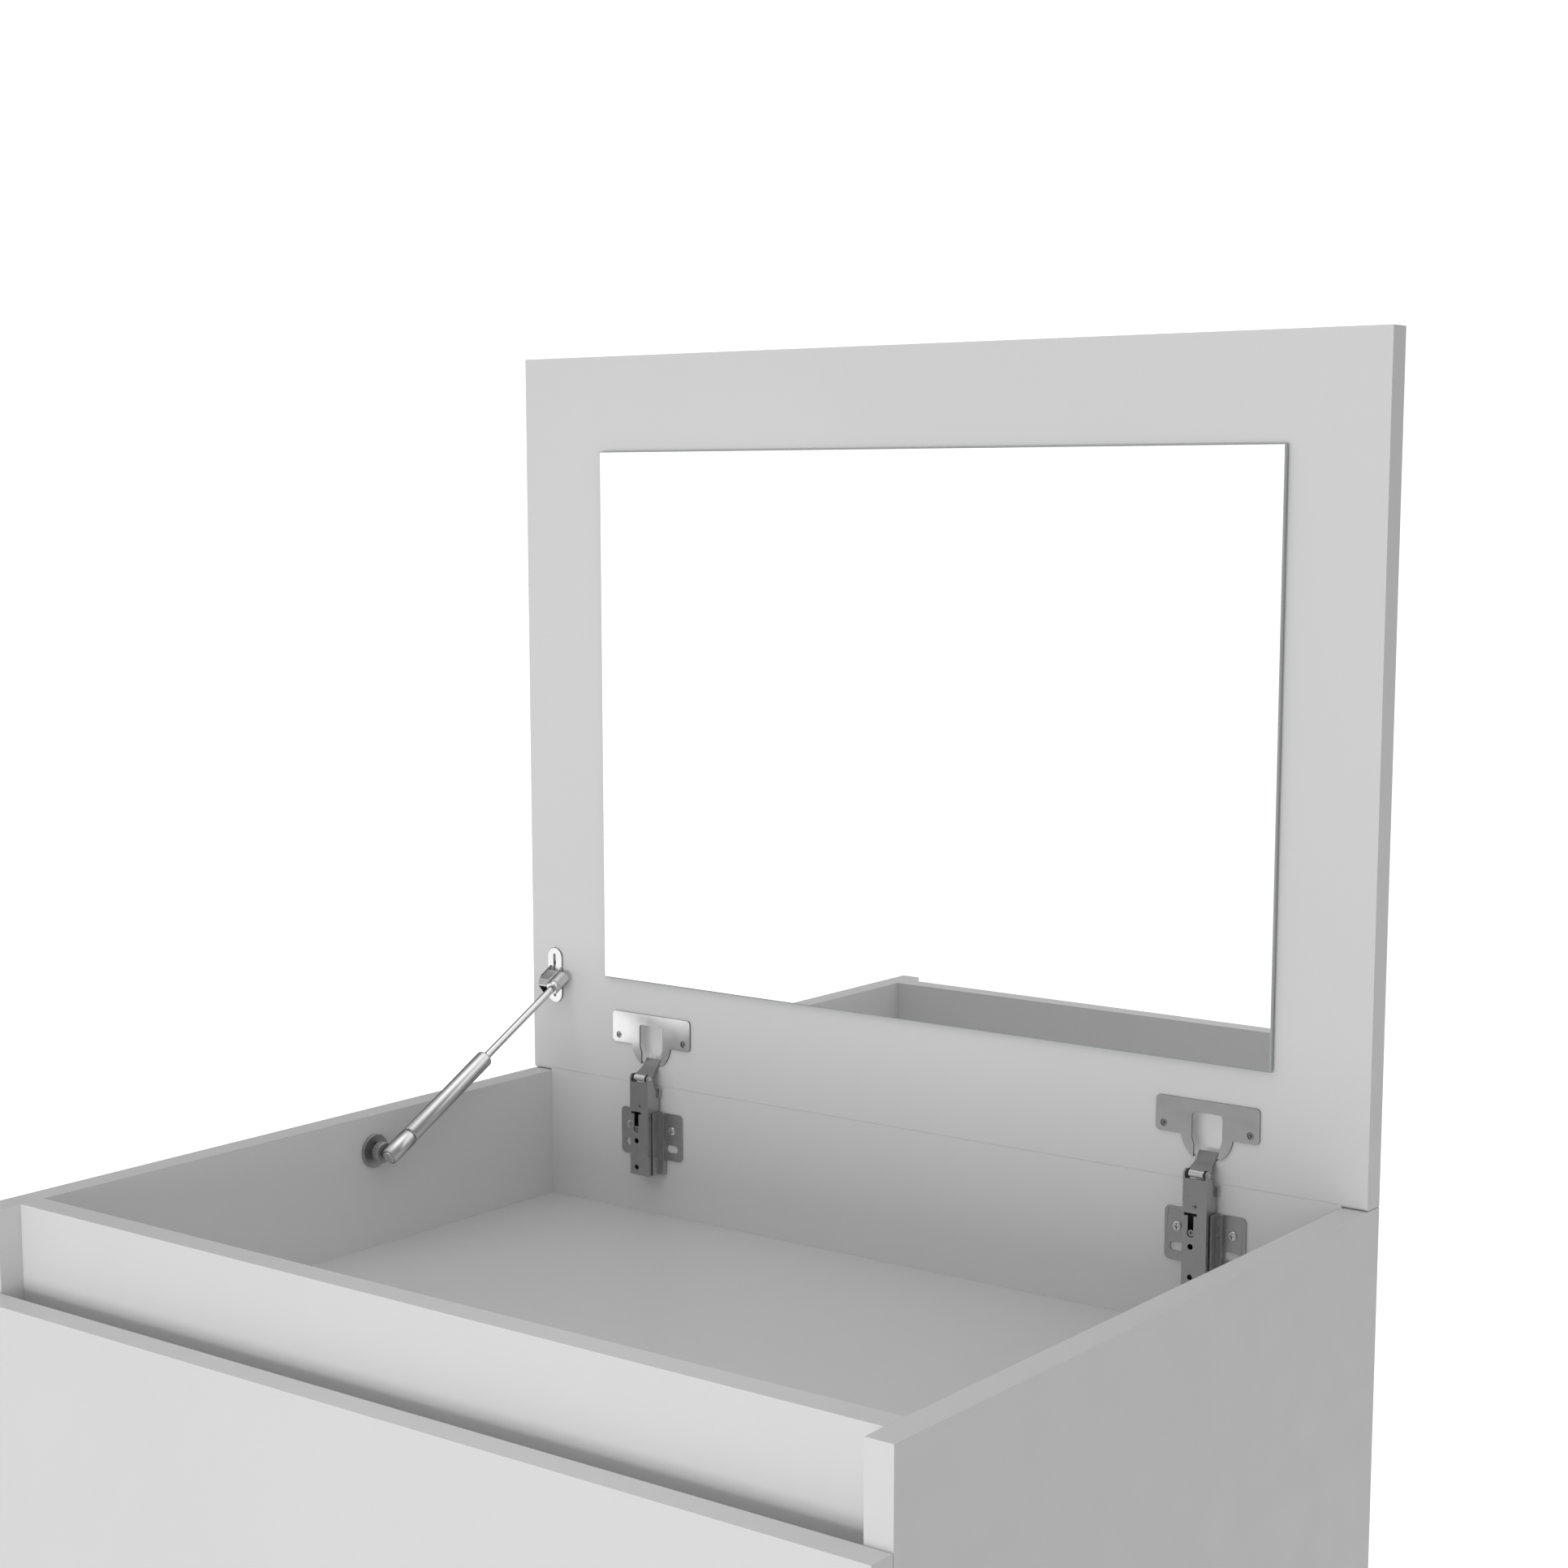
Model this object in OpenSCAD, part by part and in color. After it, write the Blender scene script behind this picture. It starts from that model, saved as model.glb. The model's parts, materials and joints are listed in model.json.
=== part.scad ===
// Vanity table with a flip-up mirror lid, one drawer and a knee space.
// Frame: +Z up, front towards -Y, origin on the floor below the middle of the whole table.
// Places are given as x from the middle, u forward from the rear face, and z up from the carcass top.

/* [Carcass] */
// Overall width of the table
table_w = 600; // [560:10:680]
// Depth of the side panels
case_depth = 451.5; // [440:0.5:470]
// Height of the carcass top above the floor
case_h = 735; // [700:5:780]
// Thickness of the boards
board = 15; // [14.5:0.5:15.5]
// Depth of the tray under the lid
tray_depth = 83; // [75:1:95]
// Set-back of the front rail behind the side panels' front edges
rail_inset = 14.5; // [13:0.5:16]
// Height of the lower rear rail
low_rail_h = 110; // [80:5:140]
// Height of the lower rear rail's top edge below the carcass top
low_rail_drop = 380; // [340:10:440]

/* [Lid and mirror] */
// Clear gap under the open lid
lid_gap = 0.4; // [0.4:0.1:0.6]
// Width of the mirror
mirror_w = 477.5; // [440:0.5:500]
// Height of the mirror
mirror_h = 336; // [300:1:336]
// Sideways offset of the mirror's middle
mirror_offset = 4.5; // [0:0.5:8]
// Height of the mirror's lower edge above the carcass top
mirror_bottom = 69; // [66:1:75]
// Thickness of the mirror glass
glass_t = 3; // [3:0.5:4]

/* [Drawer] */
// Top edge of the drawer front below the carcass top
drawer_drop = 46; // [40:1:50]
// Height of the drawer front
drawer_front_h = 170; // [160:1:190]
// Height of the drawer box
drawer_box_h = 100; // [95:1:104]
// Length of the drawer box
drawer_box_l = 400; // [380:5:410]
// Thickness of the drawer box's sides and back
drawer_board = 12; // [11:0.5:12]
// Length of the drawer runners
runner_l = 350; // [300:10:380]

/* [Hinges] */
// Middle of the left hinge from the middle of the table
hinge_left_x = -197.5; // [-210:0.5:-180]
// Middle of the right hinge from the middle of the table
hinge_right_x = 204; // [180:0.5:212]
// Width of the hinge arm
arm_w = 15; // [14:0.5:15]
// Width of the hinge cup's flange
flange_w = 64.3; // [62:0.1:66]

/* [Gas strut] */
// Diameter of the strut's tube
tube_d = 10.6; // [10.4:0.1:10.8]
// Length of the strut's tube
tube_l = 80; // [79.5:0.5:81]
// Diameter of the strut's rod
rod_d = 4.6; // [4:0.1:4.8]
// Distance of the strut's centre line from the side panel
strut_stand_off = 15.5; // [15:0.1:16]

/* [Hidden] */
$fn = 48;

laminate = [0.93, 0.93, 0.93];
nickel = [0.72, 0.72, 0.72];
dark_steel = [0.5, 0.5, 0.5];
timber = [0.82, 0.7, 0.52];

// Carcass
front_gap = 0.5;
total_depth = case_depth + front_gap + board;
y_rear = total_depth / 2;
side_out = table_w / 2;
side_in = side_out - board;
floor_z = -case_h;
glide_h = 3;
tray_bottom = -tray_depth - board;
rail_front = case_depth - rail_inset;
rail_back = rail_front - board;
back_low = -drawer_drop - drawer_front_h;
low_rail_top = -low_rail_drop;

// Lid: it turns about one axis, closes 2.5 mm above the carcass and overhangs the drawer front a little
axis_u = 11.5;
axis_z = 6;
lid_overhang = 2.5;
lid_l = total_depth + lid_overhang - (axis_u + lid_gap - axis_z);
lid_edge_r = 2.1;
tape_t = 1;
mirror_back = board + tape_t;

// Hinge cup and flange, in the lid's open position
cup_z = 28.6;
cup_bore_r = 15.4;
cup_r = 15.35;
cup_inner_r = 14.6;
cup_depth = 11.5;
ring_r = 16;
flange_t = 1.2;
flange_low = 27.2;
flange_high = 47.4;
window_w = 19;
window_top = 40.4;
window_low = 26;
throat_w = 16.4;
throat_low = 12;
cup_screw_z = 31.8;
cup_screw_dx = 26.8;
cup_screw_l = 11;
cup_screw_d = 3;
cup_screw_head_d = 4;
cup_screw_sink = 0.3;

// Hinge arm, link and plate
arm_front = 28.5;
arm_back = 17.6;
arm_t = 1.2;
arm_low = -55;
web_top = 5.8;
knuckle_u = 26.3;
knuckle_z = 8.5;
knuckle_r = 2.2;
relief_r = 11.2;
pin_d = 2.8;
fit = 0.05;
link_angle = 143;
link_l = 17;
link_t = 1.4;
link_rise = 1.4;
link_tip = 6;
link_crank = 12;
link_eye_r = 2.1;
hole_dx = -2.2;
lock_z = -25;
plate_t = 1.2;
plate_half = 25.3;
plate_high = -15;
plate_low = -45.6;
plate_screw_dx = 17.2;
plate_screw_z = -26;
plate_slot_z = -38;
plate_screw_l = 12;
plate_screw_d = 3.6;
plate_screw_head_d = 5.6;
plate_screw_head_t = 1.2;
adjuster_dx = 0.5;
adjuster_z = -9.6;

// Strut: Q is the pivot on the lid, P the stud on the side panel
q_u = 22.6;
q_z = 63.4;
p_u = 177;
p_z = -22.3;
strut_x = -side_in + strut_stand_off;
strut_l = norm([p_u - q_u, p_z - q_z]);
strut_fall = atan((q_z - p_z) / (p_u - q_u));
fitting_d = 11;
fitting_l = 19.5;
tube_end = strut_l - fitting_l + 4;
tube_start = tube_end - tube_l;
tube_bore = 8.6;
tube_mouth = 1.5;
tube_wall_end = 2;
tube_step = 1;
neck_l = 1.5;
neck_d = 7;
piston_l = 3.8;
guide_l = 4;
clip_pin_d = 4;

// Drawer
drawer_face = case_depth + front_gap;
runner_t = 12.7;
box_half = side_in - runner_t;
box_low = back_low + 11;
box_top = box_low + drawer_box_h;
box_back = drawer_face - drawer_box_l;
bottom_t = 3;
groove = 6;
bottom_z = box_low + 10;
runner_mid = (box_low + box_top) / 2;
runner_start = case_depth - 4 - runner_l;

// Carcass fasteners: the cams sit a little in from the side panels
cam_d = 15;
cam_l = 12;
cam_inset = 34;
cam_x = side_in - cam_inset;
bolt_d = 7;
bolt_in_side = 10;
dowel_d = 8;
dowel_l = 30;
dowel_in_side = 10;
bore_gap = 0.1;
floor_mid = -tray_depth - board / 2;
floor_cams = [60, 380];
rear_cam_z = [-30, back_low + 25];
low_cam_z = [low_rail_top - 25, low_rail_top - low_rail_h + 25];
rail_cam_z = -80;
rail_mid = (rail_front + rail_back) / 2;

// Each entry is the u and z of a joint's bolt
floor_joints = [for (u = floor_cams) [u, floor_mid]];
rear_joints = [for (z = concat(rear_cam_z, low_cam_z)) [board / 2, z]];
bolt_joints = concat(floor_joints, rear_joints, [[rail_mid, rail_cam_z]]);
dowel_joints = [[130, floor_mid], [310, floor_mid], [board / 2, -110], [rail_mid, -30],
                [board / 2, low_rail_top - low_rail_h / 2]];

// ---- Helpers ----

// A block between two x, two u and two z places
module block(x_a, x_b, u_a, u_b, z_a, z_b)
    translate([x_a, y_rear - u_b, case_h + z_a])
        cube([x_b - x_a, u_b - u_a, z_b - z_a]);

// A flat outline drawn in u and z, extruded from one x to another
module across(x_a, x_b)
    translate([x_b, y_rear, case_h])
        rotate([90, 0, -90])
            linear_extrude(height = x_b - x_a)
                children();

// A flat outline drawn in x and z, extruded forward from one u to another
module forward(u_a, u_b)
    translate([0, y_rear - u_a, case_h])
        rotate([90, 0, 0])
            linear_extrude(height = u_b - u_a)
                children();

// Round bars along x, along u and along z
module bar_x(x_a, x_b, u, z, d)
    translate([x_a, y_rear - u, case_h + z])
        rotate([0, 90, 0])
            cylinder(h = x_b - x_a, d = d);

module bar_u(x, u_a, u_b, z, d)
    translate([x, y_rear - u_a, case_h + z])
        rotate([90, 0, 0])
            cylinder(h = u_b - u_a, d = d);

module bar_z(x, u, z_a, z_b, d)
    translate([x, y_rear - u, case_h + z_a])
        cylinder(h = z_b - z_a, d = d);

// A flat rectangle with round corners between two corners
module rounded(x_a, x_b, z_a, z_b, r) {
    translate([x_a + r, z_a])
        square([x_b - x_a - 2 * r, z_b - z_a]);
    translate([x_a, z_a + r])
        square([x_b - x_a, z_b - z_a - 2 * r]);
    for (x = [x_a + r, x_b - r], z = [z_a + r, z_b - r])
        translate([x, z])
            circle(r = r);
}

// ---- Carcass fasteners, with the gap round them for the bores ----

module cams(gap) {
    for (side = [-1, 1]) {
        for (u = floor_cams)
            bar_z(side * cam_x, u, tray_bottom, tray_bottom + cam_l + gap, cam_d + 2 * gap);
        for (z = concat(rear_cam_z, low_cam_z))
            bar_u(side * cam_x, 0, cam_l + gap, z, cam_d + 2 * gap);
        bar_u(side * cam_x, rail_front - cam_l - gap, rail_front, rail_cam_z, cam_d + 2 * gap);
    }
}

// The bolts start just outside the cams; their bores run on into the cams' bores
module bolts(gap) {
    inner = cam_x + cam_d / 2 + (gap > 0 ? -2 : 0.2);
    outer = side_in + bolt_in_side + gap;
    for (j = bolt_joints) {
        bar_x(inner, outer, j[0], j[1], bolt_d + 2 * gap);
        bar_x(-outer, -inner, j[0], j[1], bolt_d + 2 * gap);
    }
}

module dowels(gap) {
    inner = side_in + dowel_in_side - dowel_l - gap;
    outer = side_in + dowel_in_side + gap;
    for (j = dowel_joints) {
        bar_x(inner, outer, j[0], j[1], dowel_d + 2 * gap);
        bar_x(-outer, -inner, j[0], j[1], dowel_d + 2 * gap);
    }
}

module carcass_bores() {
    cams(bore_gap);
    bolts(bore_gap);
    dowels(bore_gap);
}

// Screwdriver slots in the cams' faces
cam_slot_half = 4;
cam_slot_w = 1.6;
cam_slot_deep = 1.5;

module cam_slots()
    for (side = [-1, 1]) {
        left = side * cam_x - cam_slot_half;
        right = side * cam_x + cam_slot_half;
        half_w = cam_slot_w / 2;
        for (u = floor_cams)
            block(left, right, u - half_w, u + half_w, tray_bottom - 1, tray_bottom + cam_slot_deep);
        for (z = concat(rear_cam_z, low_cam_z))
            block(left, right, -1, cam_slot_deep, z - half_w, z + half_w);
        block(left, right, rail_front - cam_slot_deep, rail_front + 1,
              rail_cam_z - half_w, rail_cam_z + half_w);
    }

module cam_locks() color(nickel)
    difference() {
        cams(0);
        cam_slots();
    }

module cam_bolts() color(nickel)
    bolts(0);

module wooden_dowels() color(timber)
    dowels(0);

// ---- Carcass ----

glide_u = [40, case_depth - 40];
glide_d = 14;
glide_stem_d = 5;
glide_stem_l = 14;

glide_top = floor_z + glide_h + glide_stem_l;

module foot_glides() color([0.25, 0.25, 0.25])
    for (side = [-1, 1], u = glide_u) {
        bar_z(side * (side_out - board / 2), u, floor_z, floor_z + glide_h, glide_d);
        bar_z(side * (side_out - board / 2), u, floor_z + glide_h, glide_top, glide_stem_d);
    }

module side_panel(side)
    difference() {
        block(side > 0 ? side_in : -side_out, side > 0 ? side_out : -side_in,
              0, case_depth, floor_z + glide_h, 0);
        carcass_bores();
        for (u = glide_u)
            bar_z(side * (side_out - board / 2), u, floor_z, glide_top + bore_gap,
                  glide_stem_d + 2 * bore_gap);
        runner_screw_set(side, bore_gap);
        if (side < 0)
            wall_screw_set(bore_gap);
    }

module side_panel_left() color(laminate) side_panel(-1);

module side_panel_right() color(laminate) side_panel(1);

module back_panel() color(laminate)
    difference() {
        block(-side_in, side_in, 0, board, back_low, 0);
        carcass_bores();
        for (x = [hinge_left_x, hinge_right_x])
            plate_screw_set(x, bore_gap);
    }

module tray_floor() color(laminate)
    difference() {
        block(-side_in, side_in, board, rail_back, tray_bottom, -tray_depth);
        carcass_bores();
    }

module front_rail() color(laminate)
    difference() {
        block(-side_in, side_in, rail_back, rail_front, tray_bottom, 0);
        carcass_bores();
    }

module lower_rear_rail() color(laminate)
    difference() {
        block(-side_in, side_in, 0, board, low_rail_top - low_rail_h, low_rail_top);
        carcass_bores();
    }

// ---- Lid and mirror ----

// The lid's lower front edge is rounded, so that it clears the back panel as it turns
module lid_outline() {
    top = lid_gap + lid_l;
    translate([0, lid_gap])
        square([board - lid_edge_r, lid_edge_r]);
    translate([0, lid_gap + lid_edge_r])
        square([board, top - lid_gap - lid_edge_r]);
    translate([board - lid_edge_r, lid_gap + lid_edge_r])
        circle(r = lid_edge_r);
}

module lid_panel() color(laminate)
    difference() {
        across(-side_out, side_out)
            lid_outline();
        for (x = [hinge_left_x, hinge_right_x]) {
            bar_u(x, board - cup_depth - bore_gap, board + 1, cup_z, 2 * cup_bore_r);
            cup_screw_set(x, bore_gap);
        }
        lid_screw_set(bore_gap);
    }

mirror_left = mirror_offset - mirror_w / 2;
mirror_right = mirror_offset + mirror_w / 2;
mirror_top = mirror_bottom + mirror_h;
mirror_front = mirror_back + glass_t;
arris = 0.5;

// The glass has a small ground arris round its front face
module mirror_glass() color([0.95, 0.97, 0.98])
    union() {
        block(mirror_left, mirror_right, mirror_back, mirror_front - arris, mirror_bottom, mirror_top);
        block(mirror_left + arris, mirror_right - arris, mirror_front - arris, mirror_front,
              mirror_bottom + arris, mirror_top - arris);
    }

tape_w = 25;
tape_rows = 4;

module mirror_tape() color([0.3, 0.3, 0.3])
    for (i = [0 : tape_rows - 1]) {
        z = mirror_bottom + 20 + i * (mirror_h - 40 - tape_w) / (tape_rows - 1);
        block(mirror_left + 15, mirror_right - 15, board, mirror_back, z, z + tape_w);
    }

// ---- Hinges ----

// The opening in the flange: a wide window with sloping shoulders down to a narrower throat
module window_outline()
    polygon([[-throat_w / 2, throat_low], [throat_w / 2, throat_low],
             [throat_w / 2, window_low - 4], [window_w / 2, window_low],
             [window_w / 2, window_top - 2], [window_w / 2 - 2, window_top],
             [2 - window_w / 2, window_top], [-window_w / 2, window_top - 2],
             [-window_w / 2, window_low], [-throat_w / 2, window_low - 4]]);

module flange_outline()
    difference() {
        union() {
            rounded(-flange_w / 2, flange_w / 2, flange_low, flange_high, 2.5);
            translate([0, cup_z])
                circle(r = ring_r);
        }
        window_outline();
        for (side = [-1, 1])
            translate([side * cup_screw_dx, cup_screw_z])
                circle(d = 4.2);
    }

module hinge_cup(x)
    translate([x, 0, 0]) {
        forward(board, board + flange_t)
            flange_outline();
        difference() {
            bar_u(0, board - cup_depth, board, cup_z, 2 * cup_r);
            bar_u(0, board - cup_depth + 1, board + 1, cup_z, 2 * cup_inner_r);
        }
    }

module hinge_cup_left() color(nickel) hinge_cup(hinge_left_x);

module hinge_cup_right() color(nickel) hinge_cup(hinge_right_x);

// Countersunk screws whose heads sit just inside the flange's holes
module cup_screw_set(x, gap)
    for (side = [-1, 1])
        bar_u(x + side * cup_screw_dx, board - cup_screw_l - gap, board + gap, cup_screw_z,
              cup_screw_d + 2 * gap);

module hinge_cup_screws() color(nickel)
    for (x = [hinge_left_x, hinge_right_x]) {
        cup_screw_set(x, 0);
        for (side = [-1, 1])
            bar_u(x + side * cup_screw_dx, board, board + flange_t - cup_screw_sink, cup_screw_z,
                  cup_screw_head_d);
    }

// The link: an eye on the knuckle pin and a cranked plate that reaches into the cup
module link_outline()
    difference() {
        translate([knuckle_u, knuckle_z])
            rotate(link_angle) {
                circle(r = link_eye_r);
                translate([0, -link_t / 2 - link_rise])
                    square([link_l - link_tip, link_t]);
                translate([link_l - link_tip, -link_rise]) {
                    circle(d = link_t);
                    rotate(link_crank)
                        translate([0, -link_t / 2])
                            square([link_tip, link_t]);
                }
            }
        translate([knuckle_u, knuckle_z])
            circle(d = pin_d + 2 * fit);
    }

link_half = arm_w / 2 - arm_t - 0.3;

module hinge_link(x) color(dark_steel)
    across(x - link_half, x + link_half)
        link_outline();

module hinge_link_left() hinge_link(hinge_left_x);

module hinge_link_right() hinge_link(hinge_right_x);

// The knuckle pins end flush with the ears; the arm's ears hold them
module hinge_pins() color([0.85, 0.85, 0.85])
    for (x = [hinge_left_x, hinge_right_x])
        bar_x(x - arm_w / 2 - 0.2, x + arm_w / 2 + 0.2, knuckle_u, knuckle_z, pin_d);

// Side view of the arm: a straight channel with a knuckle ear, cut back round the lid's path
module arm_outline()
    difference() {
        union() {
            translate([arm_back, arm_low])
                square([arm_front - arm_back, knuckle_z - arm_low]);
            translate([knuckle_u, knuckle_z])
                circle(r = knuckle_r);
        }
        translate([axis_u, axis_z])
            circle(r = relief_r);
        translate([arm_back - 1, web_top])
            square([knuckle_u - knuckle_r - arm_back + 1, 6]);
        translate([knuckle_u, knuckle_z])
            circle(d = pin_d + 2 * fit);
    }

// Holes in the arm's web: a T-shaped keyhole, a cam hole, a lower hole and the side adjuster
module arm_hole_outline() {
    translate([hole_dx - 1.8, lock_z])
        square([3.6, -14 - lock_z]);
    translate([hole_dx - 4.2, -15.2])
        square([8, 1.6]);
    translate([hole_dx, lock_z])
        circle(d = 4.6);
    translate([hole_dx, -32.7])
        circle(d = 3.4);
    translate([hole_dx, -50])
        circle(d = 3.2);
    translate([adjuster_dx, adjuster_z])
        circle(d = 3.6);
}

module hinge_arm(x)
    difference() {
        across(x - arm_w / 2, x + arm_w / 2)
            arm_outline();
        // hollow of the channel, open behind and at the top
        block(x - arm_w / 2 + arm_t, x + arm_w / 2 - arm_t, 0, arm_front - arm_t, arm_low + arm_t, 20);
        // the web ends below the link
        block(x - arm_w / 2 + arm_t, x + arm_w / 2 - arm_t, 0, arm_front + 1, web_top, 20);
        translate([x, 0, 0])
            forward(arm_front - arm_t - 1, arm_front + 1)
                arm_hole_outline();
    }

// The arm and the small locking tab on its right wall
module locked_arm(x) color(dark_steel) {
    hinge_arm(x);
    block(x + arm_w / 2, x + arm_w / 2 + 1.4, arm_back, arm_back + 1.4, -5, 1);
}

module hinge_arm_left() locked_arm(hinge_left_x);

module hinge_arm_right() locked_arm(hinge_right_x);

// Mounting plate: two screwed wings and a stepped channel that holds the arm
wall_in = arm_w / 2 + 0.3;
wall_t = 1.2;
step_w = 3;

module plate_outline()
    difference() {
        union() {
            rounded(-plate_half, plate_half, plate_low, plate_high, 3);
            translate([-wall_in - wall_t - step_w, arm_low])
                square([2 * (wall_in + wall_t + step_w), plate_high - arm_low]);
        }
        for (side = [-1, 1]) {
            translate([side * plate_screw_dx, plate_screw_z])
                circle(d = 4.4);
            for (dx = [-2, 2])
                translate([side * plate_screw_dx + dx, plate_slot_z])
                    circle(d = 5.2);
            translate([side * plate_screw_dx - 2, plate_slot_z - 2.6])
                square([4, 5.2]);
        }
    }

module hinge_plate(x) color(dark_steel)
    translate([x, 0, 0]) {
        forward(board, board + plate_t)
            plate_outline();
        for (side = [-1, 1]) {
            near = side * wall_in;
            far = side * (wall_in + wall_t);
            block(min(near, far), max(near, far), board + plate_t, 25, arm_low, plate_high + 0.8);
            step_far = side * (wall_in + wall_t + step_w);
            block(min(far, step_far), max(far, step_far), board + plate_t, board + plate_t + 2.6,
                  arm_low, plate_high);
        }
    }

module hinge_plate_left() hinge_plate(hinge_left_x);

module hinge_plate_right() hinge_plate(hinge_right_x);

module plate_screw_set(x, gap)
    for (side = [-1, 1])
        bar_u(x + side * plate_screw_dx, board - plate_screw_l - gap, board + plate_t, plate_screw_z,
              plate_screw_d + 2 * gap);

module hinge_plate_screws() color(nickel)
    for (x = [hinge_left_x, hinge_right_x]) {
        plate_screw_set(x, 0);
        for (side = [-1, 1])
            bar_u(x + side * plate_screw_dx, board + plate_t, board + plate_t + plate_screw_head_t,
                  plate_screw_z, plate_screw_head_d);
    }

module hinge_adjusting_screws() color(nickel)
    for (x = [hinge_left_x, hinge_right_x]) {
        bar_u(x + hole_dx, board + plate_t, arm_front - 0.6, lock_z, 4.4);
        bar_u(x + adjuster_dx, arm_front - 6, arm_front - 0.2, adjuster_z, 3.4);
    }

// ---- Gas strut ----

// Places its children with +Z running from the lid pivot down to the side panel's stud
module along_strut(x)
    translate([x, y_rear - q_u, case_h + q_z])
        rotate([90 + strut_fall, 0, 0])
            children();

stud_base_d = 21;
stud_base_t = 2;
stud_boss_d = 13;
stud_boss_l = 5;
stud_d = 4.5;
wall_screw_dz = 5.8;
wall_screw_l = 10;
wall_screw_d = 3;
wall_screw_head_d = 3.2;
wall_screw_sink = 0.6;
wall_screw_hole_d = 3.4;

stud_tip = strut_x - fitting_d / 2 - 0.4;

module strut_wall_stud() color(dark_steel)
    difference() {
        union() {
            bar_x(-side_in, -side_in + stud_base_t, p_u, p_z, stud_base_d);
            bar_x(-side_in + stud_base_t, stud_tip, p_u, p_z, stud_d);
            bar_x(stud_tip - stud_boss_l, stud_tip, p_u, p_z, stud_boss_d);
        }
        for (dz = [-wall_screw_dz, wall_screw_dz])
            bar_x(-side_in - 1, -side_in + stud_base_t + 1, p_u, p_z + dz, wall_screw_hole_d);
    }

module wall_screw_set(gap)
    for (dz = [-wall_screw_dz, wall_screw_dz])
        bar_x(-side_in - wall_screw_l - gap, -side_in + gap, p_u, p_z + dz, wall_screw_d + 2 * gap);

module strut_wall_screws() color(nickel) {
    wall_screw_set(0);
    for (dz = [-wall_screw_dz, wall_screw_dz])
        bar_x(-side_in, -side_in + stud_base_t - wall_screw_sink, p_u, p_z + dz, wall_screw_head_d);
}

// Lower fitting: a capped sleeve pressed on the tube's neck
module strut_lower_fitting() color(nickel)
    along_strut(strut_x) {
        translate([0, 0, tube_end])
            cylinder(h = fitting_l - 1, d = fitting_d);
        translate([0, 0, tube_end + fitting_l - 1])
            cylinder(h = 1, d = fitting_d - 2);
        translate([0, 0, tube_end - neck_l])
            cylinder(h = neck_l, d = neck_d);
    }

module strut_tube() color(nickel)
    along_strut(strut_x)
        difference() {
            union() {
                translate([0, 0, tube_start + tube_step])
                    cylinder(h = tube_l - neck_l - 2 * tube_step, d = tube_d);
                translate([0, 0, tube_start])
                    cylinder(h = tube_step, d = tube_d - 1.4);
                translate([0, 0, tube_end - neck_l - tube_step])
                    cylinder(h = tube_step, d = tube_d - 1);
            }
            translate([0, 0, tube_start + tube_mouth])
                cylinder(h = tube_l - tube_wall_end - tube_mouth, d = tube_bore);
            translate([0, 0, tube_start - 1])
                cylinder(h = 4, d = rod_d + 0.4);
        }

// Guide bush inside the tube's mouth
module strut_guide() color([0.2, 0.2, 0.2])
    along_strut(strut_x)
        translate([0, 0, tube_start + tube_mouth])
            difference() {
                cylinder(h = guide_l, d = tube_bore - 0.04);
                translate([0, 0, -1])
                    cylinder(h = guide_l + 2, d = rod_d + 2 * fit);
            }

rod_start = 7;
rod_end = tube_start + tube_mouth + guide_l + 0.5;

module strut_rod() color([0.85, 0.85, 0.85])
    along_strut(strut_x)
        translate([0, 0, rod_start])
            cylinder(h = rod_end - rod_start, d = rod_d);

module strut_piston() color([0.2, 0.2, 0.2])
    along_strut(strut_x)
        translate([0, 0, rod_end])
            cylinder(h = piston_l, d = tube_bore - 2 * fit);

// Upper clip: a round sleeve on the rod and a pocketed block that turns on the bracket's pin
clip_reach = 11.4;
clip_near = 2.6;
clip_low = -5.4;
clip_high = 5;
clip_back = -3.4;
clip_front = 9.6;
clip_nose = 6.4;
clip_nose_drop = 2.6;
clip_heel_l = 7;
clip_heel_h = 3;
clip_wall = 1.2;
sleeve_back = -4;
pocket_depth = 3;
pocket_side = 1.4;
sleeve_d = 9;

module strut_upper_clip() color(nickel)
    difference() {
        union() {
            along_strut(strut_x)
                translate([0, 0, sleeve_back])
                    cylinder(h = rod_start + 2 - sleeve_back, d = sleeve_d);
            along_strut(strut_x)
                // the block's side outline: a sloped nose, and its lower back corner cut away
                translate([-clip_near, 0, 0])
                    rotate([0, -90, 0])
                        linear_extrude(height = clip_reach - clip_near)
                            polygon([[clip_back, clip_high], [clip_nose, clip_high],
                                     [clip_front, clip_high - clip_nose_drop], [clip_front, clip_low],
                                     [clip_front - clip_heel_l, clip_low], [clip_back, clip_low + clip_heel_h]]);
        }
        // pocket in the block's lower end
        along_strut(strut_x)
            translate([clip_wall - clip_reach, clip_low + clip_wall, clip_front - pocket_depth])
                cube([clip_reach - clip_near - 2 * clip_wall - pocket_side,
                      clip_high - clip_low - clip_nose_drop - 2 * clip_wall, pocket_depth + 1]);
        bar_x(strut_x - clip_reach - 1, strut_x - 1, q_u, q_z, clip_pin_d + 2 * fit);
        along_strut(strut_x)
            translate([0, 0, rod_start])
                cylinder(h = 8, d = rod_d);
    }

// Lid bracket: a slotted oval plate, a lug standing out of it and a pin
bracket_x = -280;
bracket_w = 12.4;
bracket_low = 46.6;
bracket_high = 83;
bracket_t = 1.2;
slot_w = 1.8;
slot_end = 4;
bracket_screw_z = [57, 73];
lug_left = -284;
lug_t = 1.8;
lug_half = 3.4;
lug_foot_half = 8;
lid_screw_l = 10;
lid_screw_d = 2.4;
lid_screw_neck_d = 2.6;
lid_screw_hole_d = 2.8;
lid_screw_head_d = 4;
lid_screw_head_t = 1;

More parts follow.
